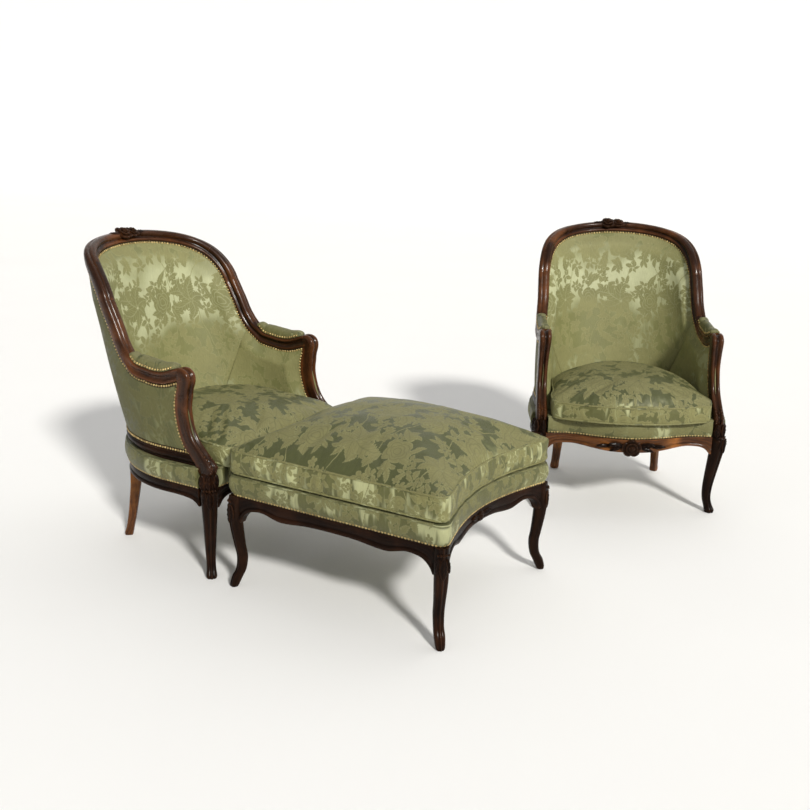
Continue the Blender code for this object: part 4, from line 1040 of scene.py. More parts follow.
def addLegs():
    centre = (leg["side"], leg["forward"])
    carving = [latticePiece(legRows(frontLegShares, legTop, leg["half"], centre, 0.845), smooth=50)]
    carving += kneeCarving(centre, leg["half"], 0.284, 0.052, 1.42)
    # the knuckle: leaves rise over the block to the arm support
    for side in (-1, 0, 1):
        point = Vector((*centre, 0.290)) + across * side * leg["half"] * 0.95
        point += diagonal * leg["half"] * (0.62 if side else 1.13)
        leaf = leafPiece(0.046, 0.0125, 0.0055, 3, 10.0)
        carving.append(setOn(leaf, point, diagonal + across * side * 0.9, (0, 0, 1)))
    carving += beadRow(centre, leg["half"], 0.2875, 1.20, 0.0085, 0.14, 0.0046)
    setChairPiece(joinPieces(carving), "front_leg_carved", legWoodPolishAndShade, "walnut", "front_leg", sides=pair)

    block = []
    for along, into in blockShares:
        turnShare = leg["turn"] + halfTurn * along
        block.append(seatCurve(turnShare, 0).lerp(seatCurve(turnShare, -leg["backDepth"]), into))
    middle = sum(block, Vector((0, 0))) / len(block)
    block = [block[k // 4].lerp(block[(k // 4 + 1) % 8], (k % 4) / 4) for k in range(32)]
    foot = Vector((leg["footSide"], -leg["footBack"]))
    low = seat["railTop"] - seat["railHeight"] * 1.2
    rows = []
    for s in np.linspace(0, len(backLegShares) - 1, 26):
        heightShare, out, size = splineAt(backLegShares, s)
        softer = ramp((0.86 - heightShare) / 0.2) * 0.5
        row = []
        for corner in block:
            arm = corner - middle
            arm = arm.lerp(arm.normalized() * leg["backHalf"] * 0.98, softer)
            row.append((*(middle.lerp(foot, out) + arm * size), low * heightShare))
        rows.append(row)
    rows += [[(*corner, height) for corner in block] for height in (low, seat["railTop"])]
    piece = latticePiece(rows, smooth=50)
    # painted light: the back legs take the lighter, warmer rail copy
    setChairPiece(piece, "back_leg_shaped", railWoodPaintedLight, "walnut", "back_leg", sides=pair)
    print("chair legs made")


addLegs()


# the covered wall: pads inside, cover outside, foot moulding below
footProfile = [(0, 0), (0, 0.58), (0.06, 0.66), (0.16, 0.68), (0.24, 0.63), (0.30, 0.70), (0.38, 0.88),
               (0.48, 0.99), (0.60, 1.03), (0.72, 1.0), (0.82, 0.92), (0.88, 0.80), (0.92, 0.82),
               (0.97, 0.80), (1, 0.70), (1, 0)]
padEdge = dict(within=0.007, top=0.007, front=0.006)      # how a pad's edge is drawn in
coverEdge = dict(within=0.006, deep=0.004, belly=0.0022)


def fromFront(column, height, over):
    return (supportBack(height) - columnPoint(column, height, 0).y) / over


def padDepth(column, height):
    onArm = column["s"] <= armEnd
    fromTop = ramp((column["top"] - height) / cover["blend"])
    full = fromTop * (ramp(fromFront(column, height, cover["blend"])) if onArm else 1.0)
    thick = cover["padEdge"] + (cover["padFull"] - cover["padEdge"]) * full
    near = abs(column["s"] - armEnd) / 0.6
    thick -= cover["dip"] * max(0.0, 1 - near) ** 2 * fromTop
    thick -= padEdge["top"] * (1 - clampShare((column["top"] - height) / padEdge["within"])) ** 2
    if onArm:
        thick -= padEdge["front"] * (1 - clampShare(fromFront(column, height, padEdge["within"]))) ** 2
    return -thick


def coverDepth(column, height):
    edge = clampShare((column["top"] - height) / coverEdge["within"])
    low = clampShare((height - coverBase) / coverEdge["within"])
    belly = sin(pi * clampShare((height - coverBase) / (column["top"] - coverBase)))
    edges = (1 - edge) ** 2 + (1 - low) ** 2
    return cover["thick"] + coverEdge["belly"] * belly - coverEdge["deep"] * edges


def wallRows(stations, bottom, outerDepth, innerDepth, steps=34):
    rows, marks = [], []
    for s in stations:
        column = makeColumn(s)
        shares = 1 - (1 - np.linspace(0, 1, steps)) ** 1.35
        heights = bottom + (column["top"] - bottom) * shares
        row = [columnPoint(column, height, innerDepth(column, height)) for height in heights]
        row += [columnPoint(column, height, outerDepth(column, height)) for height in heights[::-1]]
        mark = [(roundDistance(columnTurn(column, height)[0]), height) for height in heights]
        rows.append(row)
        marks.append(mark + mark[::-1])
    return rows, marks


def wholeWall(rows, marks):
    leftMarks = [[(-u, v) for u, v in row] for row in marks[-2::-1]]
    return latticePiece(mirrored(rows), marks + leftMarks, smooth=60)


def addWalls():
    gap = seat["gap"]
    armStations = np.linspace(0, armEnd - 0.004, 44)
    backStations = np.concatenate([np.linspace(armEnd + 0.004, 6, 30), np.linspace(6, crestEnd, 34)[1:]])
    piece = latticePiece(*wallRows(armStations, wallBase, lambda *at: -gap, padDepth), smooth=60)
    setChairPiece(piece, "side_pad_covered", wallSilkPaintedLight, "silk_upright", "side_pad", sides=pair)
    piece = wholeWall(*wallRows(backStations, wallBase, lambda *at: -gap, padDepth))
    setChairPiece(piece, "back_pad_covered", wallSilkPaintedLight, "silk_upright", "back_pad")
    stations = np.concatenate([armStations[:-1], [armEnd], backStations[1:]])
    piece = wholeWall(*wallRows(stations, coverBase, coverDepth, lambda *at: gap, 24))
    setChairPiece(piece, "outer_cover_silk", coverSilkPaintedShade, "silk_upright", "outer_cover")
    rows = []
    for column in [makeColumn(s) for s in stations]:
        rows.append([columnPoint(column, wallBase + cover["footHeight"] * up, gap + cover["foot"] * out)
                     for up, out in footProfile])
    setChairPiece(latticePiece(mirrored(rows)), "foot_moulding_shaped", legWoodPolishAndShade, "walnut", "foot_moulding")
    print("covered walls made")


addWalls()

# the moulded frame: two rounded ridges with a cove between them, and a grooved back
frameProfile = [(-1, -0.60), (-1, -0.80), (-0.90, -0.94), (-0.74, -1.0), (-0.58, -0.96), (-0.46, -0.84),
                (-0.38, -0.74), (-0.26, -0.69), (-0.14, -0.72), (-0.05, -0.84), (0.08, -0.95),
                (0.26, -1.02), (0.46, -1.02), (0.64, -0.95), (0.80, -0.80), (0.91, -0.60), (0.97, -0.36),
                (0.99, -0.14), (0.95, -0.02), (0.86, 0.05), (0.85, 0.13), (0.92, 0.22), (0.97, 0.40),
                (0.92, 0.60), (0.78, 0.78), (0.56, 0.90), (0.26, 0.97), (-0.1, 1.0), (-0.5, 0.98),
                (-0.84, 0.92), (-1, 0.80)]
armProfile = [(-1, -0.80), (-0.88, -0.96), (-0.70, -1.0), (-0.52, -0.94), (-0.38, -0.78), (-0.22, -0.68),
              (0.0, -0.66), (0.18, -0.70), (0.32, -0.84), (0.48, -0.97), (0.66, -1.02), (0.84, -0.96),
              (0.97, -0.80), (1, -0.6)]
armProfile = [(-1, -0.60)] + armProfile + [(1, 0.0)] + [(x, -y) for x, y in armProfile[::-1]]
supportSection = [(-1, -1), (-1.0, -0.4), (-1.0, 0.15), (-0.97, 0.5), (-0.87, 0.80), (-0.70, 0.96),
                  (-0.52, 1.0), (-0.36, 0.95), (-0.22, 0.80), (-0.1, 0.70), (0, 0.68)]
supportSection = supportSection + [(-x, y) for x, y in supportSection[-2::-1]]
# half width and depth of the arm support up its height
swellShares = [(0.0, 0.96), (0.06, 0.98), (0.14, 0.95), (0.3, 0.89), (0.52, 0.85), (0.75, 0.90),
               (0.92, 1.0), (1.0, 1.04)]
deepShares = [(0.0, 0.93), (0.1, 0.90), (0.25, 0.90), (0.5, 0.97), (0.8, 1.0), (1.0, 1.0)]
supportLow = legTop + seat["gap"]
supportBlend = wallBase + 0.012      # up to here the support's back runs over from the leg's block
frameJoint = seat["gap"] / frameRise * 4
# a rose and a bloom a little to the sitter's right, with leaves: places along the crest, ways and lengths
crestRoses = ((0.0300, 0.0075, 0.030, 0.85), (0.0245, 0.0090, -0.009, 0.9))
crestLeaves = ((0.045, 1, 0.045), (-0.022, -1, 0.042), (0.012, 1, 0.030))
armPad = dict(half=0.0172, rise=0.0170, swell=0.0170, start=0.10, end=armEnd - 0.22, steps=46)


def sweepFrame(stations, profile, other=None):
    rows = []
    even, far = [resampleLine([Vector(p) for p in shape], 44)[0] for shape in (profile, other or profile)]
    for s in stations:
        middle, outward, normal = frameAxes(s)
        share = ramp((s - armEnd + 1.3) / 1.3)
        rows.append([middle + outward * moulding["half"] * wide + normal * moulding["deep"] * deep
                     for wide, deep in even * (1 - share) + far * share])
    return rows


def postSizes(height, low):
    # half width, back and depth of the arm support
    share = (height - low) / (armUnder - low)
    legBack = leg["forward"] - support["half"]
    back = supportBack(height)
    if height < supportBlend:
        back = legBack + (supportBack(supportBlend) - legBack) * ramp((height - low) / (supportBlend - low))
    deep = (supportLine(height) - back) * blendAt(deepShares, share)
    return support["half"] * blendAt(swellShares, share), back, deep


def supportRows():
    rows = []
    for height in np.linspace(supportLow, armUnder, 40):
        half, back, deep = postSizes(height, supportLow)
        x = wallSizes(height)[0]
        rows.append([(x + half * side, back + deep * (1 + front), height) for side, front in supportSection])
    # over the top, back to the arm
    pivot = supportBack(armUnder)
    deep = supportLine(support["top"]) - pivot
    x = wallSizes(armUnder)[0]
    for angle in np.linspace(0, pi / 2, 12)[1:]:
        half = support["half"] * (1.04 + 0.05 * sin(2 * angle))
        row = []
        for side, front in supportSection:
            reach = deep * (1 + front) * (1.0 + 0.10 * sin(2 * angle))
            row.append((x + half * side, pivot + reach * cos(angle), armUnder + reach * sin(angle) * 0.96))
        rows.append(row)
    return rows


def roundedEnd(share, over):
    near = clampShare(share / over)
    return sqrt(near * (2 - near))


def addArmPads():
    # crowned, and rounded off at both ends
    rows, marks = [], []
    for k, s in enumerate(np.linspace(armPad["start"], armPad["end"], armPad["steps"])):
        middle, outward, normal = frameAxes(s)
        share = k / (armPad["steps"] - 1)
        crown = armPad["rise"] + armPad["swell"] * sin(pi * share) ** 1.2
        full = min(roundedEnd(share, 0.10), roundedEnd(1 - share, 0.12))
        foot = middle + outward * (moulding["half"] + 0.0004)
        row = []
        for turn in np.linspace(0, pi, 15):
            wide = armPad["half"] * cos(turn) * (0.45 + 0.55 * full) * (1.0 + 0.10 * sin(turn))
            row.append(foot - normal * wide + outward * crown * (sin(turn) ** 0.66) * full)
        rows.append(row + [foot])
        marks.append([(s * 0.12, 0.3 + 0.045 * t) for t in np.linspace(0, 1, 16)])
    piece = latticePiece(rows, marks, smooth=60)
    setChairPiece(piece, "arm_pad_covered", borderSilkPaintedLight, "silk_upright", "arm_pad", sides=pair)


def addFrame():
    piece = latticePiece(sweepFrame(np.linspace(0, armEnd - frameJoint, 60), armProfile, frameProfile))
    setChairPiece(piece, "arm_moulded", frameWood, "walnut", "arm", sides=pair)
    stations = np.linspace(armEnd + frameJoint, stileEnd - frameJoint, 66)
    piece = latticePiece(sweepFrame(stations, frameProfile))
    setChairPiece(piece, "stile_moulded", frameWood, "walnut", "stile", sides=pair)
    crest = latticePiece(mirrored(sweepFrame(np.linspace(stileEnd + frameJoint, crestEnd, 50), frameProfile)))
    middle, outward, normal = frameAxes(crestEnd)
    carving = []
    for radius, rise, x, lean in crestRoses:
        point = middle + outward * rise - normal * 0.010 + Vector((x, 0, 0))
        carving.append(setOn(rosePiece(radius), point, outward - normal * lean, (1, 0, 0)))
    for x, way, length in crestLeaves:
        for tilt in (0.2, -0.25):
            point = middle + outward * (0.010 + 0.006 * tilt) - normal * (0.012 - tilt * 0.02)
            point += Vector((x, 0, 0))
            leaf = leafPiece(length, 0.0105, 0.006)
            carving.append(setOn(leaf, point, outward * (0.55 + tilt) - normal * 0.8, (way, 0, 0)))
    setChairPiece(crest, "crest_rail_moulded", frameWood, "walnut", "crest_rail")
    setChairPiece(joinPieces(carving), "crest_flowers", legWoodPolishAndShade, "walnut")

    carving = [latticePiece(supportRows())]
    for side in (-1, 1):
        for height in np.linspace(legTop + 0.004, legTop + 0.050, 7):
            half, back, deep = postSizes(height, legTop)
            point = (wallSizes(height)[0] + half * 0.52 * side, back + deep * 1.98, height)
            carving.append(beadPiece(point, 0.0042 * (1.1 - (height - legTop) / (armUnder - legTop))))
    point = (wallSizes(legTop)[0], leg["forward"] + support["half"] * 0.66, legTop - 0.004)
    carving.append(setOn(leafPiece(0.050, 0.011, 0.006, 3, 10.0), point, (0, 1, 0.25), (0, -0.25, 1)))
    setChairPiece(joinPieces(carving), "arm_support_carved", frameWood, "walnut", "arm_support", sides=pair)
    addArmPads()
    print("moulded frame made")


addFrame()


# the upholstered borders on the rails, each with a welt along its top edge
borderLevels = [(0.0, 0.04), (0.04, 0.18), (0.12, 0.46), (0.24, 0.74), (0.38, 0.94), (0.52, 1.0),
                (0.66, 0.98), (0.78, 0.90), (0.87, 0.78), (0.93, 0.60), (0.985, 0.30), (1.0, -0.2),
                (1.0, -1.6), (1.0, -3.0)]
borderWelt = dict(rise=0.955, bulge=0.46, radius=0.0032)
stoolSize = dict(half=0.318, length=0.712, hollow=0.058, corner=0.026, legHalf=0.0195, legProud=0.009)


def smoothOutline(points, count):
    points = [Vector(p) for p in points]
    total = len(points)
    line = []
    for s in np.linspace(0, total, total * 8, endpoint=False):
        corners = [points[(int(s) + k) % total] for k in (-1, 0, 1, 2)]
        line.append(splineThrough(*corners, s - int(s)))
    return resampleLine(line, count)


def borderLine(offset):
    # right half from the front's middle, round the notch at the leg, to the back's middle
    points = [(side, frontCurve(side, offset)) for side in np.linspace(0, frontReach, 30)]
    points += [(frontReach, y) for y in np.linspace(frontCurve(frontReach, offset), behindLeg, 6)[1:]]
    points += [(x, behindLeg) for x in np.linspace(frontReach, seat["half"] + offset, 5)[1:-1]]
    turns = np.concatenate([np.linspace(-1, 0, 12)[:-1], np.linspace(0, 1, 40)])
    points += [tuple(seatCurve(turnShare, offset)) for turnShare in turns]
    return points + [(-x, y) for x, y in points[-2:0:-1]]


def stoolEnd(acrossShare, offset=0.0):
    return stoolSize["hollow"] * sin((1 - abs(acrossShare)) * pi / 2) - offset


def stoolFace(y):
    return stoolSize["length"] / 2 - stoolEnd(y / (stoolSize["half"] - stoolSize["corner"]))


def stoolLine(offset, corner=stoolSize["corner"]):
    halfLength = stoolSize["length"] / 2
    halfWidth = stoolSize["half"] + offset
    half = []
    for acrossShare in np.linspace(-1, 1, 40)[1:-1]:
        half.append((halfLength - stoolEnd(acrossShare, offset), (halfWidth - corner) * acrossShare))
    bend = []
    for angle in np.linspace(0, pi / 2, 9):
        x = halfLength + offset - corner * (1 - cos(angle))
        bend.append((x, halfWidth - corner * (1 - sin(angle))))
    half += bend
    half += [(x, halfWidth) for x in np.linspace(halfLength - corner, -halfLength + corner, 30)[1:-1]]
    half += [(-x, y) for x, y in bend[::-1]]
    return half + [(-x, -y) for x, y in half]


def mapDeck(piece):
    # the flat top under the cushion takes its pattern from the plan
    mesh = piece.data
    marks = mesh.uv_layers[0].data
    for face in mesh.polygons:
        if len(face.vertices) > 8:
            for corner in face.loop_indices:
                marks[corner].uv = mesh.vertices[mesh.loops[corner].vertex_index].co.xy


def borderPiece(outline):
    base = seat["railTop"] + seat["gap"]
    widest = outline(seat["bulge"])
    reach = reachAlong(np.array(widest + widest[:1]))
    rows, marks = [], []
    for rise, bulge in borderLevels:
        up, out = seat["border"] * rise, seat["bulge"] * bulge
        rows.append([(x, y, base + up) for x, y in outline(out)])
        marks.append([(r, 0.21 + up + max(0.0, -out)) for r in reach])
    piece = latticePiece(rows, marks, smooth=60)
    mapDeck(piece)
    height = base + seat["border"] * borderWelt["rise"]
    path = [(x, y, height) for x, y in outline(seat["bulge"] * borderWelt["bulge"])]
    return joinPieces([piece, weltPiece(path, borderWelt["radius"])])


setChairPiece(borderPiece(borderLine), "seat_border", borderSilkPaintedLight, "silk_upright", "seat_platform")
setStoolPiece(borderPiece(stoolLine), "border", borderSilkPaintedLight, "seat_platform")
print("borders made")


# the stool's frame
def addStoolFrame():
    half = stoolSize["legHalf"]
    centre = [size + stoolSize["legProud"] - half for size in (stoolSize["length"] / 2, stoolSize["half"])]
    shaft = latticePiece(legRows(stoolLegShares, seat["railTop"], half, centre, 0.76), smooth=50)
    carving = kneeCarving(centre, half, 0.262, 0.060, 1.22)
    carving += beadRow(centre, half, 0.272, 1.22, 0.0075, 0.12, 0.0042)
    corners = {}
    for end, wayX in (("far", 1), ("near", -1)):
        for side, wayY in (("right", -1), ("left", 1)):
            corners["_%s_%s" % (end, side)] = Matrix.Diagonal((wayX, wayY, 1, 1))
    setStoolPiece(joinPieces([shaft] + carving), "leg_carved", legWoodPolishAndShade, "leg", turns=corners)
    alongReach, acrossReach = [at - half - seat["gap"] for at in centre]
    rail = straightRail(alongReach, 111, stoolDropShares, lambda x: Vector((x, stoolSize["half"])), (0, -1))
    sides = {"_right": Matrix.Diagonal((1, -1, 1, 1)), "_left": Matrix()}
    setStoolPiece(rail, "long_rail_shaped", legWoodPolishAndShade, "long_rail", turns=sides)
    rail = straightRail(acrossReach, 101, stoolDropShares, lambda y: Vector((stoolFace(y), y)), (-1, 0))
    flowerAt = Vector((stoolFace(0) + 0.001, 0, seat["railTop"] - seat["railHeight"] * 0.66))
    carving = [copyPiece(rail, "carved")]
    carving.append(setOn(rosePiece(0.017), flowerAt, (1, 0, 0), (0, 0, 1), (0.9, 1, 0.5)))
    for way in (-1, 1):
        point = (stoolFace(way * 0.012), way * 0.012, flowerAt.z + 0.003)
        leaf = leafPiece(0.045, 0.009, 0.005)
        carving.append(setOn(leaf, point, (1, -0.15 * way, 0), (0.12, way, 0.05)))
    carved = joinPieces(carving)
    setStoolPiece(carved, "end_rail_carved", legWoodPolishAndShade, "end_rail", turns={"_far": Matrix()})
    turned = {"_near": Matrix.Rotation(pi, 4, "Z")}
    setStoolPiece(rail, "end_rail_shaped", legWoodPolishAndShade, "end_rail", turns=turned)
    print("stool frame made")


addStoolFrame()


# rows of brass nails
def addWallNails():
    stations = np.concatenate([np.linspace(0.10, armEnd, 40), np.linspace(armEnd, crestEnd, 90)[1:]])
    columns = [makeColumn(s) for s in stations]
    padFace, coverFace = -cover["padEdge"] + 0.0012, cover["thick"] + 0.0002
    lines = []
    for depth, way in ((padFace, -1), (coverFace, 1)):
        points = [columnPoint(c, c["top"] - nail["rise"], depth) for c in columns]
        lines.append((points, [c["normal"] * way for c in columns]))
    points = [columnPoint(c, coverBase + 0.0055, cover["thick"]) for c in columns]
    lines.append((points, [wallOutward(columnTurn(c, coverBase)[0], coverBase) for c in columns]))
    front = makeColumn(0)
    for depth, way in ((coverFace, 1), (padFace, -1)):
        heights = np.linspace(coverBase + 0.014, armUnder - 0.014, 24)
        points = [columnPoint(front, height, depth) - Vector((0, 0.0050, 0)) for height in heights]
        lines.append((points, [Vector((way, 0, 0))] * len(points)))
    rows = []     # beside the arm pads, without braid
    axes = [frameAxes(s) for s in np.linspace(0.36, armEnd - 0.5, 40)]
    for way in (-1, 1):
        points = [a[0] + a[1] * (moulding["half"] + 0.0052) + a[2] * way * 0.0170 for a in axes]
        rows += nailRow(points, [a[2] * way + a[1] * 0.25 for a in axes])
    setNailing("wall", lines, rows)


def addSeatNails():
    height = seat["railTop"] + nail["rise"]
    points, normals = [], []
    for x in np.linspace(0.003, frontReach - 0.004, 40):
        slope = (frontCurve(x + 0.001) - frontCurve(x - 0.001)) / 0.002
        points.append((x, frontCurve(x, 0.0014), height))
        normals.append(Vector((-slope, 1, nail["droop"])).normalized())
    lines = [(points, normals)]
    turns = np.concatenate([np.linspace(-0.965, 0, 14), np.linspace(0, 1, 50)[1:]])
    points = [(*seatCurve(turnShare, 0.0014), height) for turnShare in turns]
    outward = [(seatCurve(turnShare, 0.01) - seatCurve(turnShare, 0)).normalized() for turnShare in turns]
    lines.append((points, [Vector((*way, nail["droop"])) for way in outward]))
    setNailing("seat", lines)
    line = resampleLine(stoolLine(0.0016), 400)[0]
    ahead = np.roll(line, -1, axis=0) - np.roll(line, 1, axis=0)
    normals = np.stack([ahead[:, 1], -ahead[:, 0]], axis=1)
    normals /= np.linalg.norm(normals, axis=1)[:, None]
    normals *= np.sign((normals * line).sum(axis=1).mean())
    normals = np.concatenate([normals, np.full((len(line), 1), nail["droop"])], axis=1)
    points = np.concatenate([line, np.full((len(line), 1), height)], axis=1)
    points, normals = [np.concatenate([rows, rows[:1]]) for rows in (points, normals)]
    # a near-black strip under the stool's nails, as painted shadow
    setStoolPiece(shadowBraidStrip(points, normals), "braid", braid)
    setStoolPiece(nailPiece(nailRow(points, normals)[:-1]), "nails", brass)


addWallNails()
addSeatNails()
print("nails made")

# loose cushions: boxed, welted and filled
filling = dict(seam=0.0075, pressure=3.4, cap=0.020, grow=-0.012, frames=20, weltRadius=0.0036)
chairCushion = dict(
    filling, boxing=0.064, crown=0.050, half=0.2628, ear=0.0165, earFrom=0.150, earAt=0.222, front=0.288,
    bow=0.064, corner=0.030, clear=0.0012, droop=0.009, droopFrom=0.030, voxel=0.0058, wave=0.0010,
    pucker=0.0007,
    crownShares=[(0.30, 0.05), (0.56, 0.11), (0.77, 0.19), (0.90, 0.29), (0.97, 0.42), (1, 0.60), (1, 0.82)])
stoolCushion = dict(
    filling, boxing=0.074, crown=0.088, proud=0.008, corner=0.016, voxel=0.0076, wave=0.0024, pucker=0.0012,
    crownShares=[(0.25, 0.06), (0.50, 0.15), (0.72, 0.27), (0.88, 0.42), (0.97, 0.62), (1.0, 0.82)])
cushionBowShares = [(0, 1), (0.21, 0.96), (0.42, 0.82), (0.62, 0.58), (0.8, 0.34)]
stoolCloth = (0.05, 0.12)     # how far the stool cushion's pattern is slid


def chairCushionLine():
    size = chairCushion
    wide = size["half"] + size["ear"]
    half = [(wide * side, size["front"] + size["bow"] * bow) for side, bow in cushionBowShares]
    half.append((wide - size["corner"] * 0.35, size["front"] + 0.004))
    half.append((wide - size["corner"] * 0.04, size["front"] - size["corner"] * 0.25))
    half += [(wide, size["front"] - size["corner"]), (wide, size["earAt"]), (size["half"], size["earFrom"])]
    for turnShare in (0.0, 0.3, 0.52, 0.7, 0.87, 1):
        flat = wallMiddle(turnShare, wallBase)
        flat += wallOutward(turnShare, wallBase) * (-cover["padFull"] - size["clear"])
        half.append((min(flat.x, size["half"]) if turnShare < 1 else 0, flat.y))
    return half + [(-x, y) for x, y in half[-2:0:-1]]


def applyModifier(piece, kind, **settings):
    bpy.ops.object.select_all(action="DESELECT")
    piece.select_set(True)
    bpy.context.view_layer.objects.active = piece
    modifier = piece.modifiers.new(kind, kind)
    for name, value in settings.items():
        setattr(modifier, name, value)
    bpy.ops.object.modifier_apply(modifier=modifier.name)


def cushionPiece(line, size):
    middle = line.mean(axis=0)
    reach = np.abs(line - middle).max(axis=0)
    turn = np.arctan2((line[:, 1] - middle[1]) / reach[1], (line[:, 0] - middle[0]) / reach[0])
    oval = middle + reach * np.stack([np.cos(turn), np.sin(turn)], axis=1)
    levels = [(0.0012, 0, 0.5), (0.0014, 0, 0.20), (0.003, 0, 0.035), (size["seam"], 0, 0), (0.030, 0, 0.004),
              (0.050, 0, 0.004), (size["boxing"], 0, 0)]
    levels += [(size["boxing"], crown, into) for crown, into in size["crownShares"]]
    rows = []
    for height, crown, into in levels:
        shape = line + (oval - line) * crown * 0.9
        shape = middle + (shape - middle) * (1 - into)
        rows.append([(x, y, wallBase + height + size["crown"] * crown) for x, y in shape])
    piece = latticePiece(rows, smooth=180)
    applyModifier(piece, "REMESH", mode="VOXEL", voxel_size=size["voxel"])
    return piece


def fillCushion(piece, line, size):
    mesh = piece.data
    start = readArray(mesh.vertices, "co", 3)
    # the seams are held, so the top and the sides swell between them
    fromLine = np.full(len(start), 9.0)
    for k in range(0, len(line), 40):
        near = np.linalg.norm(start[:, None, :2] - line[None, k:k + 40], axis=2).min(axis=1)
        fromLine = np.minimum(fromLine, near)
    up, voxel = start[:, 2] - wallBase, size["voxel"]
    seams = (np.abs(up - size["boxing"]) < voxel * 0.8) | (up < size["seam"] + voxel * 0.3)
    held = np.nonzero((fromLine < voxel * 1.1) & seams | (up < 0.0045))[0]
    group = piece.vertex_groups.new(name="seams")
    group.add(held.tolist(), 1.0, "REPLACE")
    cloth = piece.modifiers.new("Cloth", "CLOTH")
    cloth.settings.quality = 4
    cloth.settings.vertex_group_mass = "seams"
    cloth.settings.use_pressure = True
    cloth.settings.uniform_pressure_force = size["pressure"]
    cloth.settings.shrink_min = size["grow"]
    cloth.settings.effector_weights.gravity = 0
    cloth.collision_settings.use_collision = False
    cloth.collision_settings.use_self_collision = False
    for number in range(1, size["frames"] + 1):
        scene.frame_set(number)
    shown = piece.evaluated_get(bpy.context.evaluated_depsgraph_get()).data
    by = readArray(shown.vertices, "co", 3) - start
    piece.modifiers.remove(cloth)
    scene.frame_set(1)
    far = np.linalg.norm(by, axis=1)
    moved = start + by * np.minimum(1.0, size["cap"] / np.maximum(far, 1e-9))[:, None]
    moved[:, 2] = np.maximum(moved[:, 2], wallBase + 0.0008)
    mesh.vertices.foreach_set("co", moved.reshape(-1))
    mesh.update()
    piece.vertex_groups.clear()


def frontDroop(x, y, size):
    # the front edge hangs a little over the rounded border
    if "droop" not in size:
        return np.zeros(len(x))
    share = np.clip(1 - np.abs(x) / (size["half"] + size["ear"]), 0, 1)
    front = size["front"] + size["bow"] * np.sin(share * pi / 2) ** 1.2
    near = np.clip(1 - (front - y) / size["droopFrom"], 0, 1)
    return size["droop"] * near * near * (3 - 2 * near)


def softWaves(points, size, middle):
    # slow hollows all over, and upright puckers down the boxing
    x, y, z = points.T
    slow = np.sin(43 * x + 17 * y + 1.1) + np.sin(39 * y - 23 * x + 30 * z + 2.3)
    slow = (slow + 0.6 * np.sin(71 * x - 57 * y + 0.4)) / 2.6
    turn = np.arctan2(y - middle[1], x - middle[0])
    quick = np.sin(46 * turn + 2.2 * np.sin(7 * turn)) * np.sin(9 * turn + 0.8)
    side = np.clip(1 - np.abs(z - wallBase - size["boxing"] / 2) / (size["boxing"] * 0.62), 0, 1)
    out = points[:, :2] - middle
    out /= np.maximum(np.linalg.norm(out, axis=1), 1e-6)[:, None]
    moved = points.copy()
    moved[:, :2] += out * (side * (slow * size["wave"] + quick * size["pucker"]))[:, None]
    high = np.clip((z - wallBase - size["boxing"]) / 0.02, 0, 1)
    moved[:, 2] += high * slow * size["wave"] * 0.7
    return moved


def mapCushion(mesh, points, line, length, size):
    # the cloth's pattern: flat over the top, round the boxing
    corners = readArray(mesh.loops, "vertex_index", kind=int)
    normals = readArray(mesh.polygons, "normal", 3)
    centres = readArray(mesh.polygons, "center", 3)
    sideways = (centres[:, 2] < wallBase + size["boxing"] - 0.001) & (np.abs(normals[:, 2]) < 0.8)
    sideways = np.repeat(sideways, readArray(mesh.polygons, "loop_total", kind=int))
    out = line - line.mean(axis=0)
    angles = np.arctan2(out[:, 1], out[:, 0])
    order = np.argsort(angles)
    reach = ((order - order[0]) * (length / len(line))) % length
    if reach[1] > length / 2:
        reach = (length - reach) % length
    points = points[corners]
    out = points[:, :2] - line.mean(axis=0)
    around = np.interp(np.arctan2(out[:, 1], out[:, 0]), angles[order], reach)
    boxing = np.stack([around, points[:, 2] + 0.13], axis=1)
    layer = mesh.uv_layers[0] if mesh.uv_layers else mesh.uv_layers.new(name="UVMap")
    layer.data.foreach_set("uv", np.where(sideways[:, None], boxing, points[:, :2]).reshape(-1))


def seamWelts(piece, line, size):
    # laid on the swollen seams
    surface = BVHTree.FromObject(piece, bpy.context.evaluated_depsgraph_get())
    middle = line.mean(axis=0)
    welts = []
    for height in (size["seam"], size["boxing"]):
        path = []
        for (x, y), droop in zip(line, frontDroop(*line.T, size)):
            out = Vector((x - middle[0], y - middle[1], 0)).normalized()
            level = wallBase + height - droop
            if height > size["seam"]:
                level += size["wave"] * 0.8 * sin(37 * x + 1.3) * sin(31 * y + 0.4)
            hit = surface.ray_cast(Vector((x, y, level)) + out * 0.05, -out)[0]
            path.append((x, y, level) if hit is None else tuple(hit))
        path = np.array(path)
        for _ in range(3):
            path = (np.roll(path, 1, axis=0) + path * 2 + np.roll(path, -1, axis=0)) / 4
        welts.append(weltPiece(path, size["weltRadius"]))
    return welts


def makeCushion(line, length, size):
    piece = cushionPiece(line, size)
    fillCushion(piece, line, size)
    applyModifier(piece, "SMOOTH", iterations=2, factor=0.5)
    applyModifier(piece, "SUBSURF", levels=1, render_levels=1)
    mesh = piece.data
    mesh.shade_smooth()
    points = readArray(mesh.vertices, "co", 3)
    shaped = softWaves(points, size, line.mean(axis=0))
    shaped[:, 2] -= frontDroop(points[:, 0], points[:, 1], size)
    mesh.vertices.foreach_set("co", shaped.reshape(-1))
    mesh.update()
    mapCushion(mesh, points, line, length, size)
    return joinPieces([piece] + seamWelts(piece, line, size))


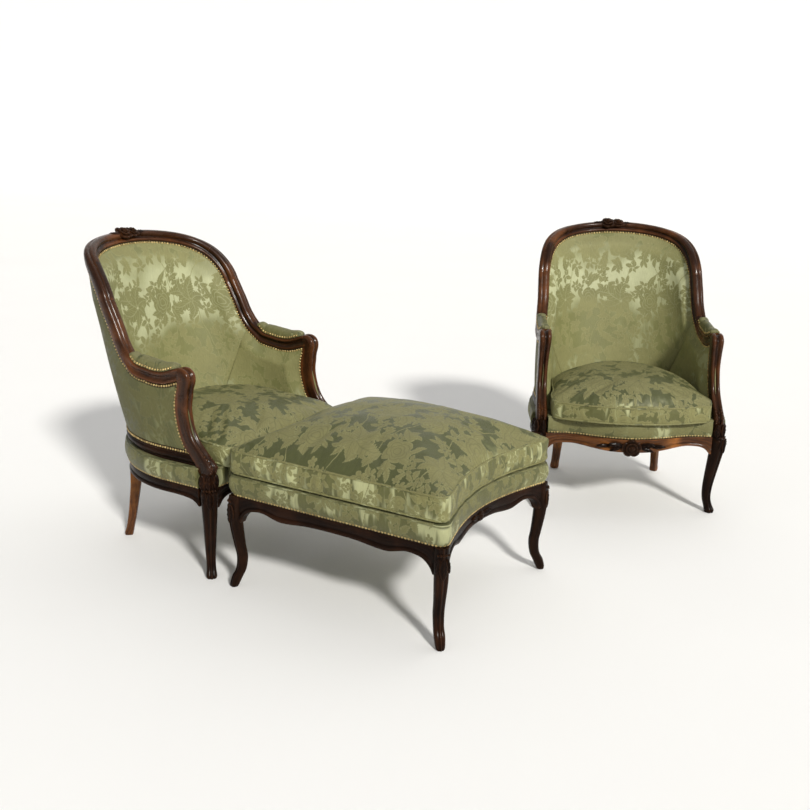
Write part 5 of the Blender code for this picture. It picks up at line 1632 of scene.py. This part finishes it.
def addCushions():
    piece = makeCushion(*smoothOutline(chairCushionLine(), 200), chairCushion)
    setChairPiece(piece, "seat_cushion_filled", seatSilkPaintedLight, "silk_seat", "seat_cushion", "_cushion")
    outline = stoolLine(stoolCushion["proud"], stoolCushion["corner"])
    piece = makeCushion(*resampleLine(outline, 240), stoolCushion)
    slideMarks(piece, stoolCloth)
    setStoolPiece(piece, "cushion_filled", seatSilkPaintedLight, "cushion", "_cushion")
    print("cushions made")


addCushions()

# floor, light and camera
studio = dict(
    floor=(0.90, 0.90, 0.90), size=80.0, sweepFrom=9.0, sweepShare=0.35, world=0.31, aim=(0, 0, 0.3),
    lights=[dict(name="key", at=(4.4, -3.0, 3.9), angle=7, power=3.2, colour=(1, 0.975, 0.92)),
            dict(name="fill", at=(-3.0, -4.2, 2.4), angle=60, power=0.10, colour=(1, 0.99, 0.96)),
            dict(name="top", at=(0.4, 1.4, 4.2), angle=40, power=0.50, colour=(1, 1, 1))])
camera = dict(at=(1.7691, -3.1318, 1.3563), yaw=-0.5476, pitch=-0.2660, roll=0.0192, focal=1049.3786,
              width=810, sensor=36)


def addFloor():
    bpy.ops.object.select_all(action="DESELECT")
    bpy.ops.mesh.primitive_grid_add(x_subdivisions=4, y_subdivisions=200, size=studio["size"])
    floor = bpy.context.object
    floor.name = "studio_floor"
    for vertex in floor.data.vertices:
        beyond = max(0.0, vertex.co.y - studio["sweepFrom"])
        vertex.co.z = studio["sweepShare"] * beyond * beyond
    floor.data.shade_smooth()
    material, place = newMaterial("paleFloor")
    tone = mixColours(noiseAt(place, 1.3), studio["floor"], [c * 0.97 for c in studio["floor"]])
    floor.data.materials.append(finishMaterial(material, {"Base Color": tone, "Roughness": 0.9}))


def addLights():
    world = bpy.data.worlds.new("studioWorld")
    world.use_nodes = True
    background = world.node_tree.nodes["Background"]
    background.inputs["Color"].default_value = (1, 1, 1, 1)
    background.inputs["Strength"].default_value = studio["world"]
    scene.world = world
    for lamp in studio["lights"]:
        data = bpy.data.lights.new(lamp["name"], "SUN")
        data.angle = radians(lamp["angle"])
        data.energy = lamp["power"]
        data.color = lamp["colour"]
        light = bpy.data.objects.new("light_" + lamp["name"], data)
        light.location = lamp["at"]
        toward = Vector(studio["aim"]) - Vector(lamp["at"])
        light.rotation_euler = toward.to_track_quat("-Z", "Y").to_euler()
        scene.collection.objects.link(light)
    scene.view_settings.view_transform = "Standard"
    scene.view_settings.look = "None"


def addCamera():
    yaw, pitch, roll = camera["yaw"], camera["pitch"], camera["roll"]
    forward = Vector((sin(yaw) * cos(pitch), cos(yaw) * cos(pitch), sin(pitch)))
    right = Vector((cos(yaw), -sin(yaw), 0))
    up = right.cross(forward)
    turn = Matrix((right * cos(roll) + up * sin(roll), up * cos(roll) - right * sin(roll), -forward))
    data = bpy.data.cameras.new("photoCamera")
    data.sensor_width = camera["sensor"]
    data.lens = camera["focal"] / camera["width"] * camera["sensor"]
    data.clip_end = 60
    eye = bpy.data.objects.new("photoCamera", data)
    eye.matrix_world = Matrix.Translation(camera["at"]) @ turn.transposed().to_4x4()
    scene.collection.objects.link(eye)
    scene.camera = eye


addFloor()
addLights()
addCamera()
print("studio and camera set")
